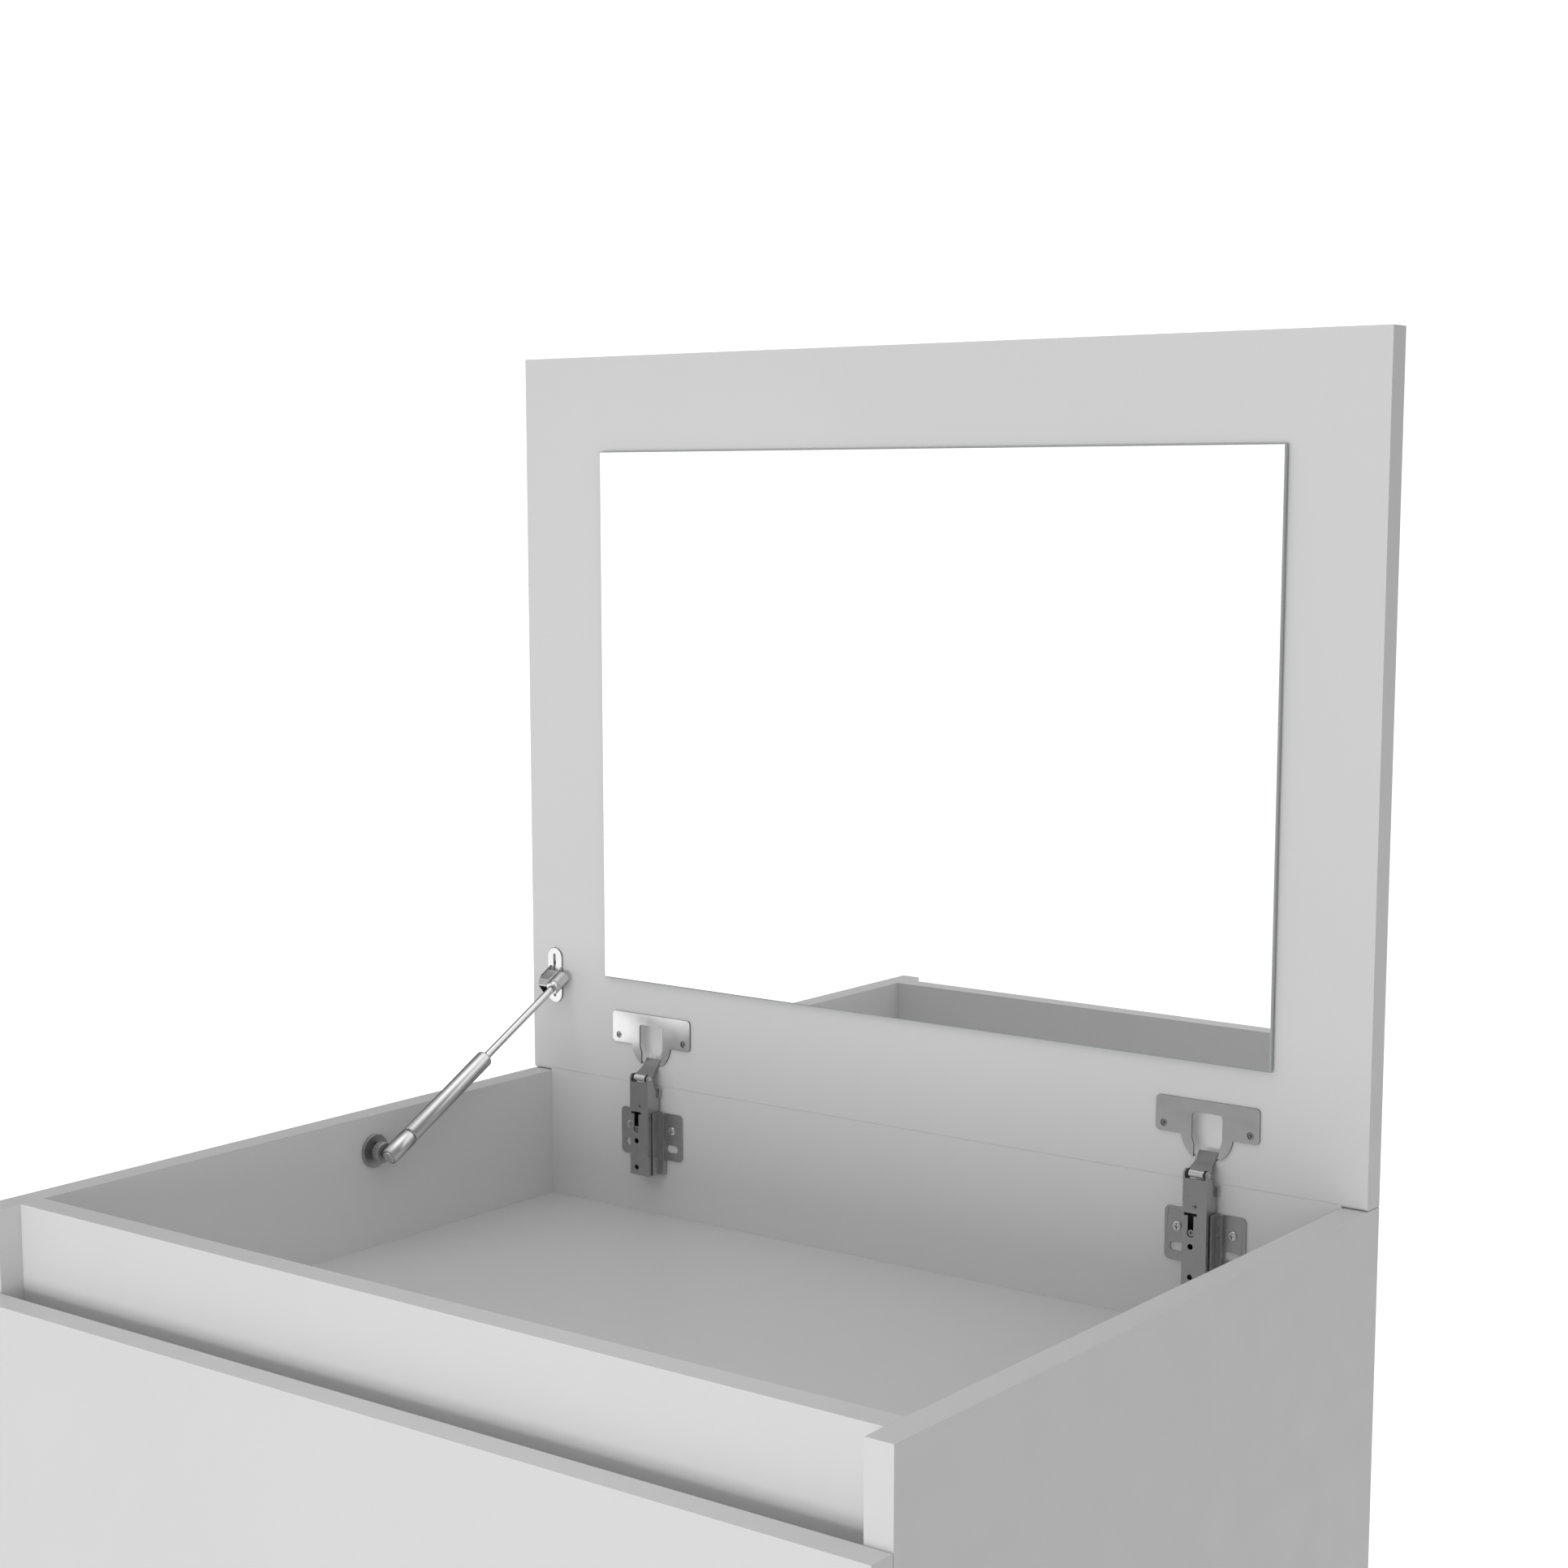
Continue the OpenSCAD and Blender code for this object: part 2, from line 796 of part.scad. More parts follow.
module bracket_outline()
    difference() {
        rounded(bracket_x - bracket_w / 2, bracket_x + bracket_w / 2,
                bracket_low, bracket_high, bracket_w / 2 - 0.1);
        translate([bracket_x - slot_w / 2, bracket_low + slot_end])
            square([slot_w, bracket_high - bracket_low - 2 * slot_end]);
    }

module lug_outline()
    union() {
        polygon([[board + bracket_t, q_z - lug_foot_half], [q_u, q_z - lug_half],
                 [q_u, q_z + lug_half], [board + bracket_t, q_z + lug_foot_half]]);
        translate([q_u, q_z])
            circle(r = lug_half);
    }

module strut_lid_bracket() color(nickel) {
    difference() {
        forward(board, board + bracket_t)
            bracket_outline();
        for (z = bracket_screw_z)
            bar_u(bracket_x, board - 1, board + 3, z, lid_screw_hole_d);
    }
    across(lug_left, lug_left + lug_t)
        lug_outline();
    bar_x(lug_left + lug_t, strut_x - 1.5, q_u, q_z, clip_pin_d);
}

module lid_screw_set(gap)
    for (z = bracket_screw_z)
        bar_u(bracket_x, board - lid_screw_l - gap, board + gap, z, lid_screw_d + 2 * gap);

module strut_lid_screws() color(nickel) {
    lid_screw_set(0);
    for (z = bracket_screw_z) {
        bar_u(bracket_x, board, board + bracket_t, z, lid_screw_neck_d);
        bar_u(bracket_x, board + bracket_t, board + bracket_t + lid_screw_head_t, z, lid_screw_head_d);
    }
}

// ---- Drawer ----

drawer_cam_x = box_half - drawer_board;
drawer_cam_u = drawer_face - cam_inset;
drawer_cam_z = [box_low + 30, box_top - 20];
drawer_cam_l = 10;
drawer_bolt_in_front = 10;
drawer_bolt_d = 6;
back_screw_l = 30;
back_screw_d = 4;

module drawer_cams(gap)
    for (z = drawer_cam_z) {
        bar_x(drawer_cam_x, drawer_cam_x + drawer_cam_l + gap, drawer_cam_u, z, cam_d + 2 * gap);
        bar_x(-drawer_cam_x - drawer_cam_l - gap, -drawer_cam_x, drawer_cam_u, z, cam_d + 2 * gap);
    }

module drawer_bolts(gap) {
    inner = drawer_cam_u + cam_d / 2 + (gap > 0 ? -2 : 0.2);
    for (side = [-1, 1], z = drawer_cam_z)
        bar_u(side * (drawer_cam_x + drawer_board / 2), inner, drawer_face + drawer_bolt_in_front + gap, z,
              drawer_bolt_d + 2 * gap);
}

module drawer_back_screw_set(gap)
    for (z = drawer_cam_z) {
        inner = box_half - back_screw_l - gap;
        bar_x(inner, box_half, box_back + drawer_board / 2, z, back_screw_d + 2 * gap);
        bar_x(-box_half, -inner, box_back + drawer_board / 2, z, back_screw_d + 2 * gap);
    }

module drawer_slab(gap)
    block(-drawer_cam_x - groove - gap, drawer_cam_x + groove + gap,
          box_back - gap, drawer_face + groove + gap, bottom_z - gap, bottom_z + bottom_t + gap);

module drawer_front() color(laminate)
    difference() {
        block(-side_out, side_out, drawer_face, drawer_face + board, back_low, -drawer_drop);
        drawer_bolts(bore_gap);
        drawer_slab(bore_gap);
    }

module drawer_side(side)
    difference() {
        block(side > 0 ? drawer_cam_x : -box_half, side > 0 ? box_half : -drawer_cam_x,
              box_back, drawer_face, box_low, box_top);
        drawer_cams(bore_gap);
        drawer_bolts(bore_gap);
        drawer_back_screw_set(bore_gap);
        drawer_slab(bore_gap);
        runner_inner_screw_set(side, bore_gap);
    }

module drawer_side_left() color(laminate) drawer_side(-1);

module drawer_side_right() color(laminate) drawer_side(1);

module drawer_back() color(laminate)
    difference() {
        block(-drawer_cam_x, drawer_cam_x, box_back, box_back + drawer_board,
              bottom_z + bottom_t + 0.2, box_top);
        drawer_back_screw_set(bore_gap);
    }

module drawer_bottom() color(laminate)
    drawer_slab(0);

module drawer_cam_locks() color(nickel)
    drawer_cams(0);

module drawer_cam_bolts() color(nickel)
    drawer_bolts(0);

module drawer_back_screws() color(nickel)
    drawer_back_screw_set(0);

// ---- Drawer runners ----

runner_skin = 1.2;
outer_half = 22.5;
middle_half = 20.8;
inner_half = 19.1;
outer_depth = 9;
middle_depth = 8;
middle_in = 2.4;
inner_depth = 8;
runner_hole_d = 4.2;
runner_screw_d = 4;
runner_screw_l = 10;
drawer_runner_screw_l = 9;

// A channel along u: a web at one x and two lips reaching to another
module channel(web_x, lip_x, half) {
    left = min(web_x, lip_x);
    right = max(web_x, lip_x);
    web_a = web_x < lip_x ? web_x : web_x - runner_skin;
    runner_end = runner_start + runner_l;
    block(web_a, web_a + runner_skin, runner_start, runner_end, runner_mid - half, runner_mid + half);
    for (z = [runner_mid - half, runner_mid + half - runner_skin])
        block(left, right, runner_start, runner_end, z, z + runner_skin);
}

outer_screw_u = [runner_start + 30, runner_start + runner_l - 40];

module runner_outer(side)
    difference() {
        channel(side * side_in, side * (side_in - outer_depth), outer_half);
        for (u = outer_screw_u)
            bar_x(-side_out, side_out, u, runner_mid, runner_hole_d);
    }

module runner_middle(side)
    channel(side * (side_in - middle_in), side * (side_in - middle_in - middle_depth), middle_half);

module runner_inner(side)
    difference() {
        channel(side * box_half, side * (box_half + inner_depth), inner_half);
        for (u = outer_screw_u)
            bar_x(-side_out, side_out, u, runner_mid, runner_hole_d);
    }

module runner_outer_left() color(nickel) runner_outer(-1);

module runner_outer_right() color(nickel) runner_outer(1);

module runner_middle_left() color(nickel) runner_middle(-1);

module runner_middle_right() color(nickel) runner_middle(1);

module runner_inner_left() color(nickel) runner_inner(-1);

module runner_inner_right() color(nickel) runner_inner(1);

module runner_screw_set(side, gap)
    for (u = outer_screw_u)
        bar_x(side > 0 ? side_in - runner_skin : -side_in - runner_screw_l - gap,
              side > 0 ? side_in + runner_screw_l + gap : -side_in + runner_skin,
              u, runner_mid, runner_screw_d + 2 * gap);

module runner_inner_screw_set(side, gap)
    for (u = outer_screw_u)
        bar_x(side > 0 ? box_half - drawer_runner_screw_l - gap : -box_half - runner_skin,
              side > 0 ? box_half + runner_skin : -box_half + drawer_runner_screw_l + gap,
              u, runner_mid, runner_screw_d + 2 * gap);

module runner_screws() color(nickel)
    for (side = [-1, 1])
        runner_screw_set(side, 0);

module drawer_runner_screws() color(nickel)
    for (side = [-1, 1])
        runner_inner_screw_set(side, 0);

// ---- Nodes ----

side_panel_left();
side_panel_right();
back_panel();
tray_floor();
front_rail();
lower_rear_rail();
foot_glides();
cam_locks();
cam_bolts();
wooden_dowels();
lid_panel();
mirror_glass();
mirror_tape();
hinge_cup_left();
hinge_cup_right();
hinge_cup_screws();
hinge_link_left();
hinge_link_right();
hinge_pins();
hinge_arm_left();
hinge_arm_right();
hinge_plate_left();
hinge_plate_right();
hinge_plate_screws();
hinge_adjusting_screws();
strut_wall_stud();
strut_wall_screws();
strut_lower_fitting();
strut_tube();
strut_guide();
strut_rod();
strut_piston();
strut_upper_clip();
strut_lid_bracket();
strut_lid_screws();
drawer_front();
drawer_side_left();
drawer_side_right();
drawer_back();
drawer_bottom();
drawer_cam_locks();
drawer_cam_bolts();
drawer_back_screws();
runner_outer_left();
runner_outer_right();
runner_middle_left();
runner_middle_right();
runner_inner_left();
runner_inner_right();
runner_screws();
drawer_runner_screws();
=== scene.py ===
"""Looks of the vanity table with a flip-up mirror lid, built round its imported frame."""

import json
import math

import bmesh
import bpy
from mathutils import Matrix, Vector


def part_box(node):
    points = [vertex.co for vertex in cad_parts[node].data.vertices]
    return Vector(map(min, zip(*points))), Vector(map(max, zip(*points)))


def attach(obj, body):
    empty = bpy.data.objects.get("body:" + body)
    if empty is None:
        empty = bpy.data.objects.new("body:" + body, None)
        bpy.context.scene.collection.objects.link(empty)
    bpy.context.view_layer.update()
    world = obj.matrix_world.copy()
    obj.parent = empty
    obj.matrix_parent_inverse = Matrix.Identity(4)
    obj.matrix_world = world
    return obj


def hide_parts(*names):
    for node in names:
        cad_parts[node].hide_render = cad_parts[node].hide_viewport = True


MM = 0.001

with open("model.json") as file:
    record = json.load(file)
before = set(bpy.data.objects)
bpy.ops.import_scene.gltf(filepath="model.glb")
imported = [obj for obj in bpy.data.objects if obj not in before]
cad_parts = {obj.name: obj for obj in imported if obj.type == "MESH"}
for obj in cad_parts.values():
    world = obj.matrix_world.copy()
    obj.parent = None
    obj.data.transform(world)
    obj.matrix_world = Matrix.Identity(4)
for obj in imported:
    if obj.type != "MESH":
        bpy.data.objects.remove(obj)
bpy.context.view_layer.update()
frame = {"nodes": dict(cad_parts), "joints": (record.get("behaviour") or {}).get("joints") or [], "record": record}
nodes = frame["nodes"]
behaviour = frame["record"]["behaviour"]
scene = bpy.context.scene


# ---- Camera, light and floor ----

# The viewpoint, from the middle of the table's rear top edge, and its turn and tilt in degrees
VIEW_OFFSET = Vector((890.6, -1293.6, 378.8)) * MM
VIEW_TURN = 37.21
VIEW_TILT = 82.13
LENS = 61.08
SENSOR_W = 36
SHIFT = (-0.0086, 0.0493)
CLIP = (0.05, 60)


def make_camera():
    rear_top = Vector((0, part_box("back_panel")[1].y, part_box("side_panel_left")[1].z))
    data = bpy.data.cameras.new("camera")
    data.lens = LENS
    data.sensor_width = SENSOR_W
    data.shift_x, data.shift_y = SHIFT
    data.clip_start, data.clip_end = CLIP
    camera = bpy.data.objects.new("camera", data)
    camera.location = rear_top + VIEW_OFFSET
    camera.rotation_euler = (math.radians(VIEW_TILT), 0, math.radians(VIEW_TURN))
    scene.collection.objects.link(camera)
    scene.camera = camera


# Bright cards that the metal reflects: the direction they are in, their falloff and their strength
CARDS = [((0.1, 0.0, 1.0), 8, 1.3), ((-0.72, -0.3, 0.62), 30, 0.7), ((-0.65, -0.73, -0.2), 9, 1.0)]


def make_world(white, fill, dim):
    """White for the eye and the mirror, an even fill for matt surfaces, dim with bright cards for metal."""
    world = bpy.data.worlds.new("studio")
    world.use_nodes = True
    tree = world.node_tree

    def math_node(operation, *values):
        node = tree.nodes.new("ShaderNodeMath")
        node.operation = operation
        for socket, value in zip(node.inputs, values):
            if isinstance(value, bpy.types.NodeSocket):
                tree.links.new(value, socket)
            else:
                socket.default_value = value
        return node.outputs[0]

    path = tree.nodes.new("ShaderNodeLightPath")
    direction = tree.nodes.new("ShaderNodeTexCoord").outputs["Generated"]
    metal = dim
    for card, falloff, strength in CARDS:
        facing = tree.nodes.new("ShaderNodeVectorMath")
        facing.operation = "DOT_PRODUCT"
        tree.links.new(direction, facing.inputs[0])
        facing.inputs[1].default_value = Vector(card).normalized()
        lobe = math_node("POWER", math_node("MAXIMUM", facing.outputs["Value"], 0), falloff)
        metal = math_node("MULTIPLY_ADD", lobe, strength, metal)
    blurred = math_node("SUBTRACT", path.outputs["Is Glossy Ray"], path.outputs["Is Singular Ray"])
    shiny = math_node("MULTIPLY", math_node("MAXIMUM", blurred, 0), math_node("SUBTRACT", metal, white))
    matt = math_node("MULTIPLY", path.outputs["Is Diffuse Ray"], fill - white)
    strength = math_node("ADD", math_node("ADD", shiny, matt), white)
    background = tree.nodes["Background"]
    background.inputs["Color"].default_value = (1, 1, 1, 1)
    tree.links.new(strength, background.inputs["Strength"])
    scene.world = world


def area_light(name, place, target, size, power):
    data = bpy.data.lights.new(name, "AREA")
    data.shape = "RECTANGLE"
    data.size, data.size_y = size
    data.energy = power
    light = bpy.data.objects.new(name, data)
    light.location = place
    light.rotation_euler = (Vector(target) - Vector(place)).to_track_quat("-Z", "Y").to_euler()
    light.visible_camera = False
    light.visible_glossy = False
    scene.collection.objects.link(light)


FLOOR_SIZE = 60


def make_floor(glow):
    """A pale floor. It shines a little, so that it stays near white behind the table."""
    bpy.ops.mesh.primitive_plane_add(size=FLOOR_SIZE)
    floor = bpy.context.object
    floor.name = "floor"
    material = bpy.data.materials.new("pale_floor")
    material.use_nodes = True
    shader = material.node_tree.nodes["Principled BSDF"]
    shader.inputs["Base Color"].default_value = (0.9, 0.9, 0.9, 1)
    shader.inputs["Roughness"].default_value = 0.9
    shader.inputs["Specular IOR Level"].default_value = 0.1
    shader.inputs["Emission Color"].default_value = (1, 1, 1, 1)
    shader.inputs["Emission Strength"].default_value = glow
    floor.data.materials.append(material)
    floor.visible_diffuse = False


make_camera()
make_world(white=1.15, fill=0.485, dim=0.25)
make_floor(glow=0.7)
area_light("key", (0.4, -3.6, 0.62), (0, 0, 0.66), (2.2, 1.2), 57)
area_light("top", (-0.2, -1.0, 2.6), (0, -0.2, 0.7), (2.4, 2.0), 5.2)
area_light("inner", (0.12, -0.2, 1.1), (-0.28, -0.27, 0.7), (0.5, 0.4), 0.3)
scene.view_settings.view_transform = "Standard"


# ---- Materials ----

class Shader:
    """A node material under construction, with short calls for what the materials here share."""

    def __init__(self, name, color, roughness, metallic=0.0):
        self.material = bpy.data.materials.new(name)
        self.material.use_nodes = True
        self.tree = self.material.node_tree
        self.principled = self.tree.nodes["Principled BSDF"]
        self.principled.inputs["Base Color"].default_value = (*color, 1)
        self.principled.inputs["Roughness"].default_value = roughness
        self.principled.inputs["Metallic"].default_value = metallic
        self.place = self.tree.nodes.new("ShaderNodeTexCoord").outputs["Object"]

    def noise(self, scale, detail=2.0, stretch=(1, 1, 1)):
        mapping = self.tree.nodes.new("ShaderNodeMapping")
        mapping.inputs["Scale"].default_value = stretch
        self.tree.links.new(self.place, mapping.inputs["Vector"])
        node = self.tree.nodes.new("ShaderNodeTexNoise")
        node.inputs["Scale"].default_value = scale
        node.inputs["Detail"].default_value = detail
        self.tree.links.new(mapping.outputs[0], node.inputs["Vector"])
        return node.outputs["Fac"]

    def spread(self, value, low, high, start=0.3, end=0.7):
        node = self.tree.nodes.new("ShaderNodeMapRange")
        node.inputs["From Min"].default_value = start
        node.inputs["From Max"].default_value = end
        node.inputs["To Min"].default_value = low
        node.inputs["To Max"].default_value = high
        self.tree.links.new(value, node.inputs["Value"])
        return node.outputs["Result"]

    def shade(self, value, dark, light):
        node = self.tree.nodes.new("ShaderNodeMix")
        node.data_type = "RGBA"
        node.inputs["A"].default_value = (*dark, 1)
        node.inputs["B"].default_value = (*light, 1)
        self.tree.links.new(value, node.inputs["Factor"])
        self.tree.links.new(node.outputs["Result"], self.principled.inputs["Base Color"])

    def rough(self, value):
        self.tree.links.new(value, self.principled.inputs["Roughness"])

    def bump(self, height, distance, strength=1.0):
        node = self.tree.nodes.new("ShaderNodeBump")
        node.inputs["Distance"].default_value = distance
        node.inputs["Strength"].default_value = strength
        self.tree.links.new(height, node.inputs["Height"])
        self.tree.links.new(node.outputs["Normal"], self.principled.inputs["Normal"])


def laminate(name, tone=0.68):
    """Matt melamine: an even tone, a barely uneven sheen and a fine pearl grain."""
    shader = Shader(name, (tone,) * 3, 0.5)
    shader.shade(shader.spread(shader.noise(6, 3), 0, 1), (tone * 0.985,) * 3, (tone,) * 3)
    shader.rough(shader.spread(shader.noise(40, 2), 0.46, 0.54))
    shader.bump(shader.noise(1400, 2), 0.02 * MM, 0.4)
    return shader.material


def steel(name, tone, rough_low, rough_high, grain=(1, 1, 1), scale=2500, strength=0.12, rim=1.0):
    """Plated steel: a fine even grain, and slightly uneven gloss. A low rim darkens it at grazing angles."""
    shader = Shader(name, (tone,) * 3, rough_low, 1.0)
    shader.principled.inputs["Specular Tint"].default_value = (rim, rim, rim, 1)
    fine = shader.noise(scale, 2, grain)
    shader.shade(shader.spread(fine, 0, 1), (tone * 0.97,) * 3, (tone,) * 3)
    shader.rough(shader.spread(shader.noise(120, 2), rough_low, rough_high))
    shader.bump(fine, 0.002 * MM, strength)
    return shader.material


def silvering():
    """The silver behind clear glass: sharp reflections and next to no tint."""
    return Shader("silvering", (0.97, 0.97, 0.97), 0.0, 1.0).material


def plastic(name, color, low=0.4, high=0.55):
    shader = Shader(name, color, low)
    shader.rough(shader.spread(shader.noise(300, 2), low, high))
    shader.bump(shader.noise(1500, 2), 0.02 * MM, 0.5)
    return shader.material


def ground_glass():
    """The ground edge of the mirror: darker and satin."""
    shader = Shader("ground_edge", (0.38, 0.4, 0.395), 0.3)
    shader.shade(shader.spread(shader.noise(900, 3), 0, 1), (0.36, 0.38, 0.375), (0.4, 0.42, 0.415))
    shader.rough(shader.spread(shader.noise(1600, 2), 0.25, 0.4))
    return shader.material


def beech():
    shader = Shader("beech", (0.7, 0.52, 0.33), 0.6)
    grain = shader.noise(220, 4, (0.08, 1, 1))
    shader.shade(shader.spread(grain, 0, 1), (0.6, 0.42, 0.25), (0.76, 0.6, 0.4))
    shader.bump(grain, 0.05 * MM, 0.5)
    return shader.material


NICKEL = steel("nickel_steel", 0.8, 0.17, 0.22)
DARK_NICKEL = steel("dark_nickel", 0.45, 0.26, 0.32)
PHOSPHATED = steel("phosphated_steel", 0.3, 0.3, 0.36)
CHROME = steel("bright_steel", 0.78, 0.19, 0.22, strength=0.03, rim=0.1)
SATIN = steel("satin_steel", 0.74, 0.22, 0.26, strength=0.03, rim=0.1)
# Blackened steel: the wall screws' own finish, and painted shade in the clip's pocket and on the lid screws in the
# bracket's slot
BLACKENED_AND_SHADE = steel("blackened_and_painted_shade_steel", 0.16, 0.35, 0.45)
MATT_STEEL = steel("matt_steel", 0.42, 0.42, 0.48)
# Dark steel for the edge walls of the hinge flanges and the lid bracket: painted shade along their edges and in
# the slot
SHADE_EDGE_STEEL = steel("painted_shade_edge_steel", 0.22, 0.3, 0.4)
EDGE_GLASS = ground_glass()
# Pale plastic that paints light: it lifts the shade in the hinge cups and gives the clip's rim a painted highlight
PAINTED_LIGHT_PLASTIC = plastic("painted_light_plastic", (0.9, 0.9, 0.9))
NYLON = plastic("nylon", (0.75, 0.75, 0.74))
BLACK = plastic("black_plastic", (0.03, 0.03, 0.03))

SLOT_MATERIALS = {
    "white_laminate": laminate("white_laminate"),
    "white_hardboard": laminate("white_hardboard", 0.63),
    "mirror_silver": silvering(),
    "foam_tape": plastic("foam_tape", (0.8, 0.8, 0.8)),
    "nickel_steel": NICKEL,
    "dark_nickel": DARK_NICKEL,
    "bright_steel": CHROME,
    "runner_steel": steel("runner_steel", 0.6, 0.26, 0.34, (1, 0.05, 1), 900),
    "black_plastic": BLACK,
    "beech": beech(),
}


# ---- CAD nodes that stay in view ----

def dress(node, material):
    node.data.materials.clear()
    node.data.materials.append(material)


def soften(thing, width, dissolve=True, angle=40, segments=2):
    """Small round edges, by modifiers only."""
    if dissolve:
        weld = thing.modifiers.new("weld", "WELD")
        weld.merge_threshold = 0.001 * MM
        flatten = thing.modifiers.new("flatten", "DECIMATE")
        flatten.decimate_type = "DISSOLVE"
        flatten.angle_limit = math.radians(0.5)
    edges = thing.modifiers.new("edges", "BEVEL")
    edges.width = width
    edges.segments = segments
    edges.limit_method = "ANGLE"
    edges.angle_limit = math.radians(angle)
    edges.use_clamp_overlap = True
    thing.modifiers.new("normals", "WEIGHTED_NORMAL").keep_sharp = True


# The width of the round edges, by slot
EDGE = {"white_laminate": 0.5 * MM, "white_hardboard": 0.2 * MM, "nickel_steel": 0.3 * MM,
        "dark_nickel": 0.3 * MM, "bright_steel": 0.2 * MM, "runner_steel": 0.2 * MM}

# The boards meet under the lid in a fine line
TIGHT_EDGE = {"back_panel": 0.05 * MM, "lid_panel": 0.1 * MM}

for part in frame["record"]["subparts"]:
    slot = part["material_slot"]
    dress(nodes[part["node"]], SLOT_MATERIALS[slot])
    if slot in EDGE:
        soften(nodes[part["node"]], TIGHT_EDGE.get(part["node"], EDGE[slot]))


# ---- Mesh helpers ----

X, Y, Z = Vector((1, 0, 0)), Vector((0, 1, 0)), Vector((0, 0, 1))


def body_of(node):
    return next(body for body, owned in behaviour["bodies"].items() if node in owned)


def slot_of(node):
    return next(part["material_slot"] for part in frame["record"]["subparts"] if part["node"] == node)


def joint_of(name):
    return next(joint for joint in frame["joints"] if joint["name"] == name)


def joint_place(name):
    return Vector(joint_of(name)["pos_m"])


def joint_axis(name):
    return Vector(joint_of(name)["axis"]).normalized()


def islands(node):
    """The lowest and highest corners of each separate solid in a node."""
    mesh = bmesh.new()
    mesh.from_mesh(nodes[node].data)
    bmesh.ops.remove_doubles(mesh, verts=mesh.verts, dist=0.001 * MM)
    left = set(mesh.verts)
    boxes = []
    while left:
        group = {left.pop()}
        edge = list(group)
        while edge:
            vertex = edge.pop()
            for link in vertex.link_edges:
                other = link.other_vert(vertex)
                if other not in group:
                    group.add(other)
                    edge.append(other)
        left -= group
        low = Vector([min(v.co[axis] for v in group) for axis in range(3)])
        high = Vector([max(v.co[axis] for v in group) for axis in range(3)])
        boxes.append((low, high))
    mesh.free()
    return sorted(boxes, key=lambda box: tuple(box[0]))


def span(node, origin, axis):
    """Where a node starts and ends along a line."""
    along = [(vertex.co - origin).dot(axis) for vertex in nodes[node].data.vertices]
    return min(along), max(along)


def aim(place, direction, up="Y"):
    """A matrix that puts +Z along a direction at a place."""
    turn = direction.to_track_quat("Z", up).to_matrix().to_4x4()
    return Matrix.Translation(place) @ turn


def frame_at(place, right, up, out):
    """A matrix with its three axes along three directions, at a place."""
    return Matrix.Translation(place) @ Matrix((right, up, out)).transposed().to_4x4()


def piece(name, mesh, node, materials, width=0.0, smooth=35, segments=2):
    """Makes an object from a bmesh that takes a CAD node's place, body and finish."""
    bmesh.ops.remove_doubles(mesh, verts=mesh.verts, dist=0.0005 * MM)
    bmesh.ops.recalc_face_normals(mesh, faces=mesh.faces)
    data = bpy.data.meshes.new(name)
    mesh.to_mesh(data)
    mesh.free()
    for material in materials:
        data.materials.append(material)
    data.shade_smooth()
    data.set_sharp_from_angle(angle=math.radians(smooth))
    made = bpy.data.objects.new(name, data)
    scene.collection.objects.link(made)
    if width:
        soften(made, width, dissolve=False, angle=smooth, segments=segments)
    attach(made, body_of(node))
    return made


def replace(name, mesh, node, materials, width=0.0, smooth=35, segments=2):
    made = piece(name, mesh, node, materials, width, smooth, segments)
    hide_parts(node)
    return made


def ring(mesh, radius, height, matrix, steps):
    """A ring of vertices, or a single one where the radius is nought."""
    if radius < 1e-7:
        return [mesh.verts.new(matrix @ Vector((0, 0, height)))]
    turns = [math.tau * k / steps for k in range(steps)]
    return [mesh.verts.new(matrix @ Vector((radius * math.cos(a), radius * math.sin(a), height)))
            for a in turns]


def lathe(mesh, profile, matrix, steps=48, material=0):
    """Turns (radius, height) points about +Z. A radius of nought closes the shape."""
    rings = [ring(mesh, radius, height, matrix, steps) for radius, height in profile]
    for lower, upper in zip(rings, rings[1:]):
        for k in range(steps):
            after = (k + 1) % steps
            if len(lower) == 1 and len(upper) == 1:
                continue
            if len(lower) == 1:
                corners = (lower[0], upper[k], upper[after])
            elif len(upper) == 1:
                corners = (lower[k], lower[after], upper[0])
            else:
                corners = (lower[k], lower[after], upper[after], upper[k])
            mesh.faces.new(corners).material_index = material


def prism(mesh, outline, start, end, matrix):
    """Extrudes an outline of (x, y) points along +Z."""
    low = [mesh.verts.new(matrix @ Vector((x, y, start))) for x, y in outline]
    high = [mesh.verts.new(matrix @ Vector((x, y, end))) for x, y in outline]
    mesh.faces.new(low[::-1])
    mesh.faces.new(high)
    for k in range(len(outline)):
        after = (k + 1) % len(outline)
        mesh.faces.new((low[k], low[after], high[after], high[k]))


def scaled(points):
    """Millimetre points in metres."""
    return [(x * MM, y * MM) for x, y in points]


def plate(mesh, outline, holes, matrix, back, front):
    """A flat plate between two heights, from outlines in millimetres.

    Its faces take the first material, and its cut edges the second.
    """
    caps = {back: [], front: []}
    for outline_points in [outline] + holes:
        rows = [[mesh.verts.new(matrix @ Vector((x * MM, y * MM, height * MM))) for x, y in outline_points]
                for height in (back, front)]
        count = len(outline_points)
        for k in range(count):
            after = (k + 1) % count
            wall = mesh.faces.new((rows[0][k], rows[0][after], rows[1][after], rows[1][k]))
            wall.material_index = 1
        for height, row in zip((back, front), rows):
            caps[height] += [mesh.edges.get((row[k], row[(k + 1) % count])) for k in range(count)]
    for edges in caps.values():
        filled = bmesh.ops.triangle_fill(mesh, edges=edges, use_beauty=True)
        faces = [item for item in filled["geom"] if isinstance(item, bmesh.types.BMFace)]
        inner = {e for made in faces for e in made.edges
                 if len(e.link_faces) == 2 and all(f in faces for f in e.link_faces)}
        bmesh.ops.dissolve_limit(mesh, angle_limit=math.radians(1), verts=[], delimit={"MATERIAL"},
                                 edges=list(inner))


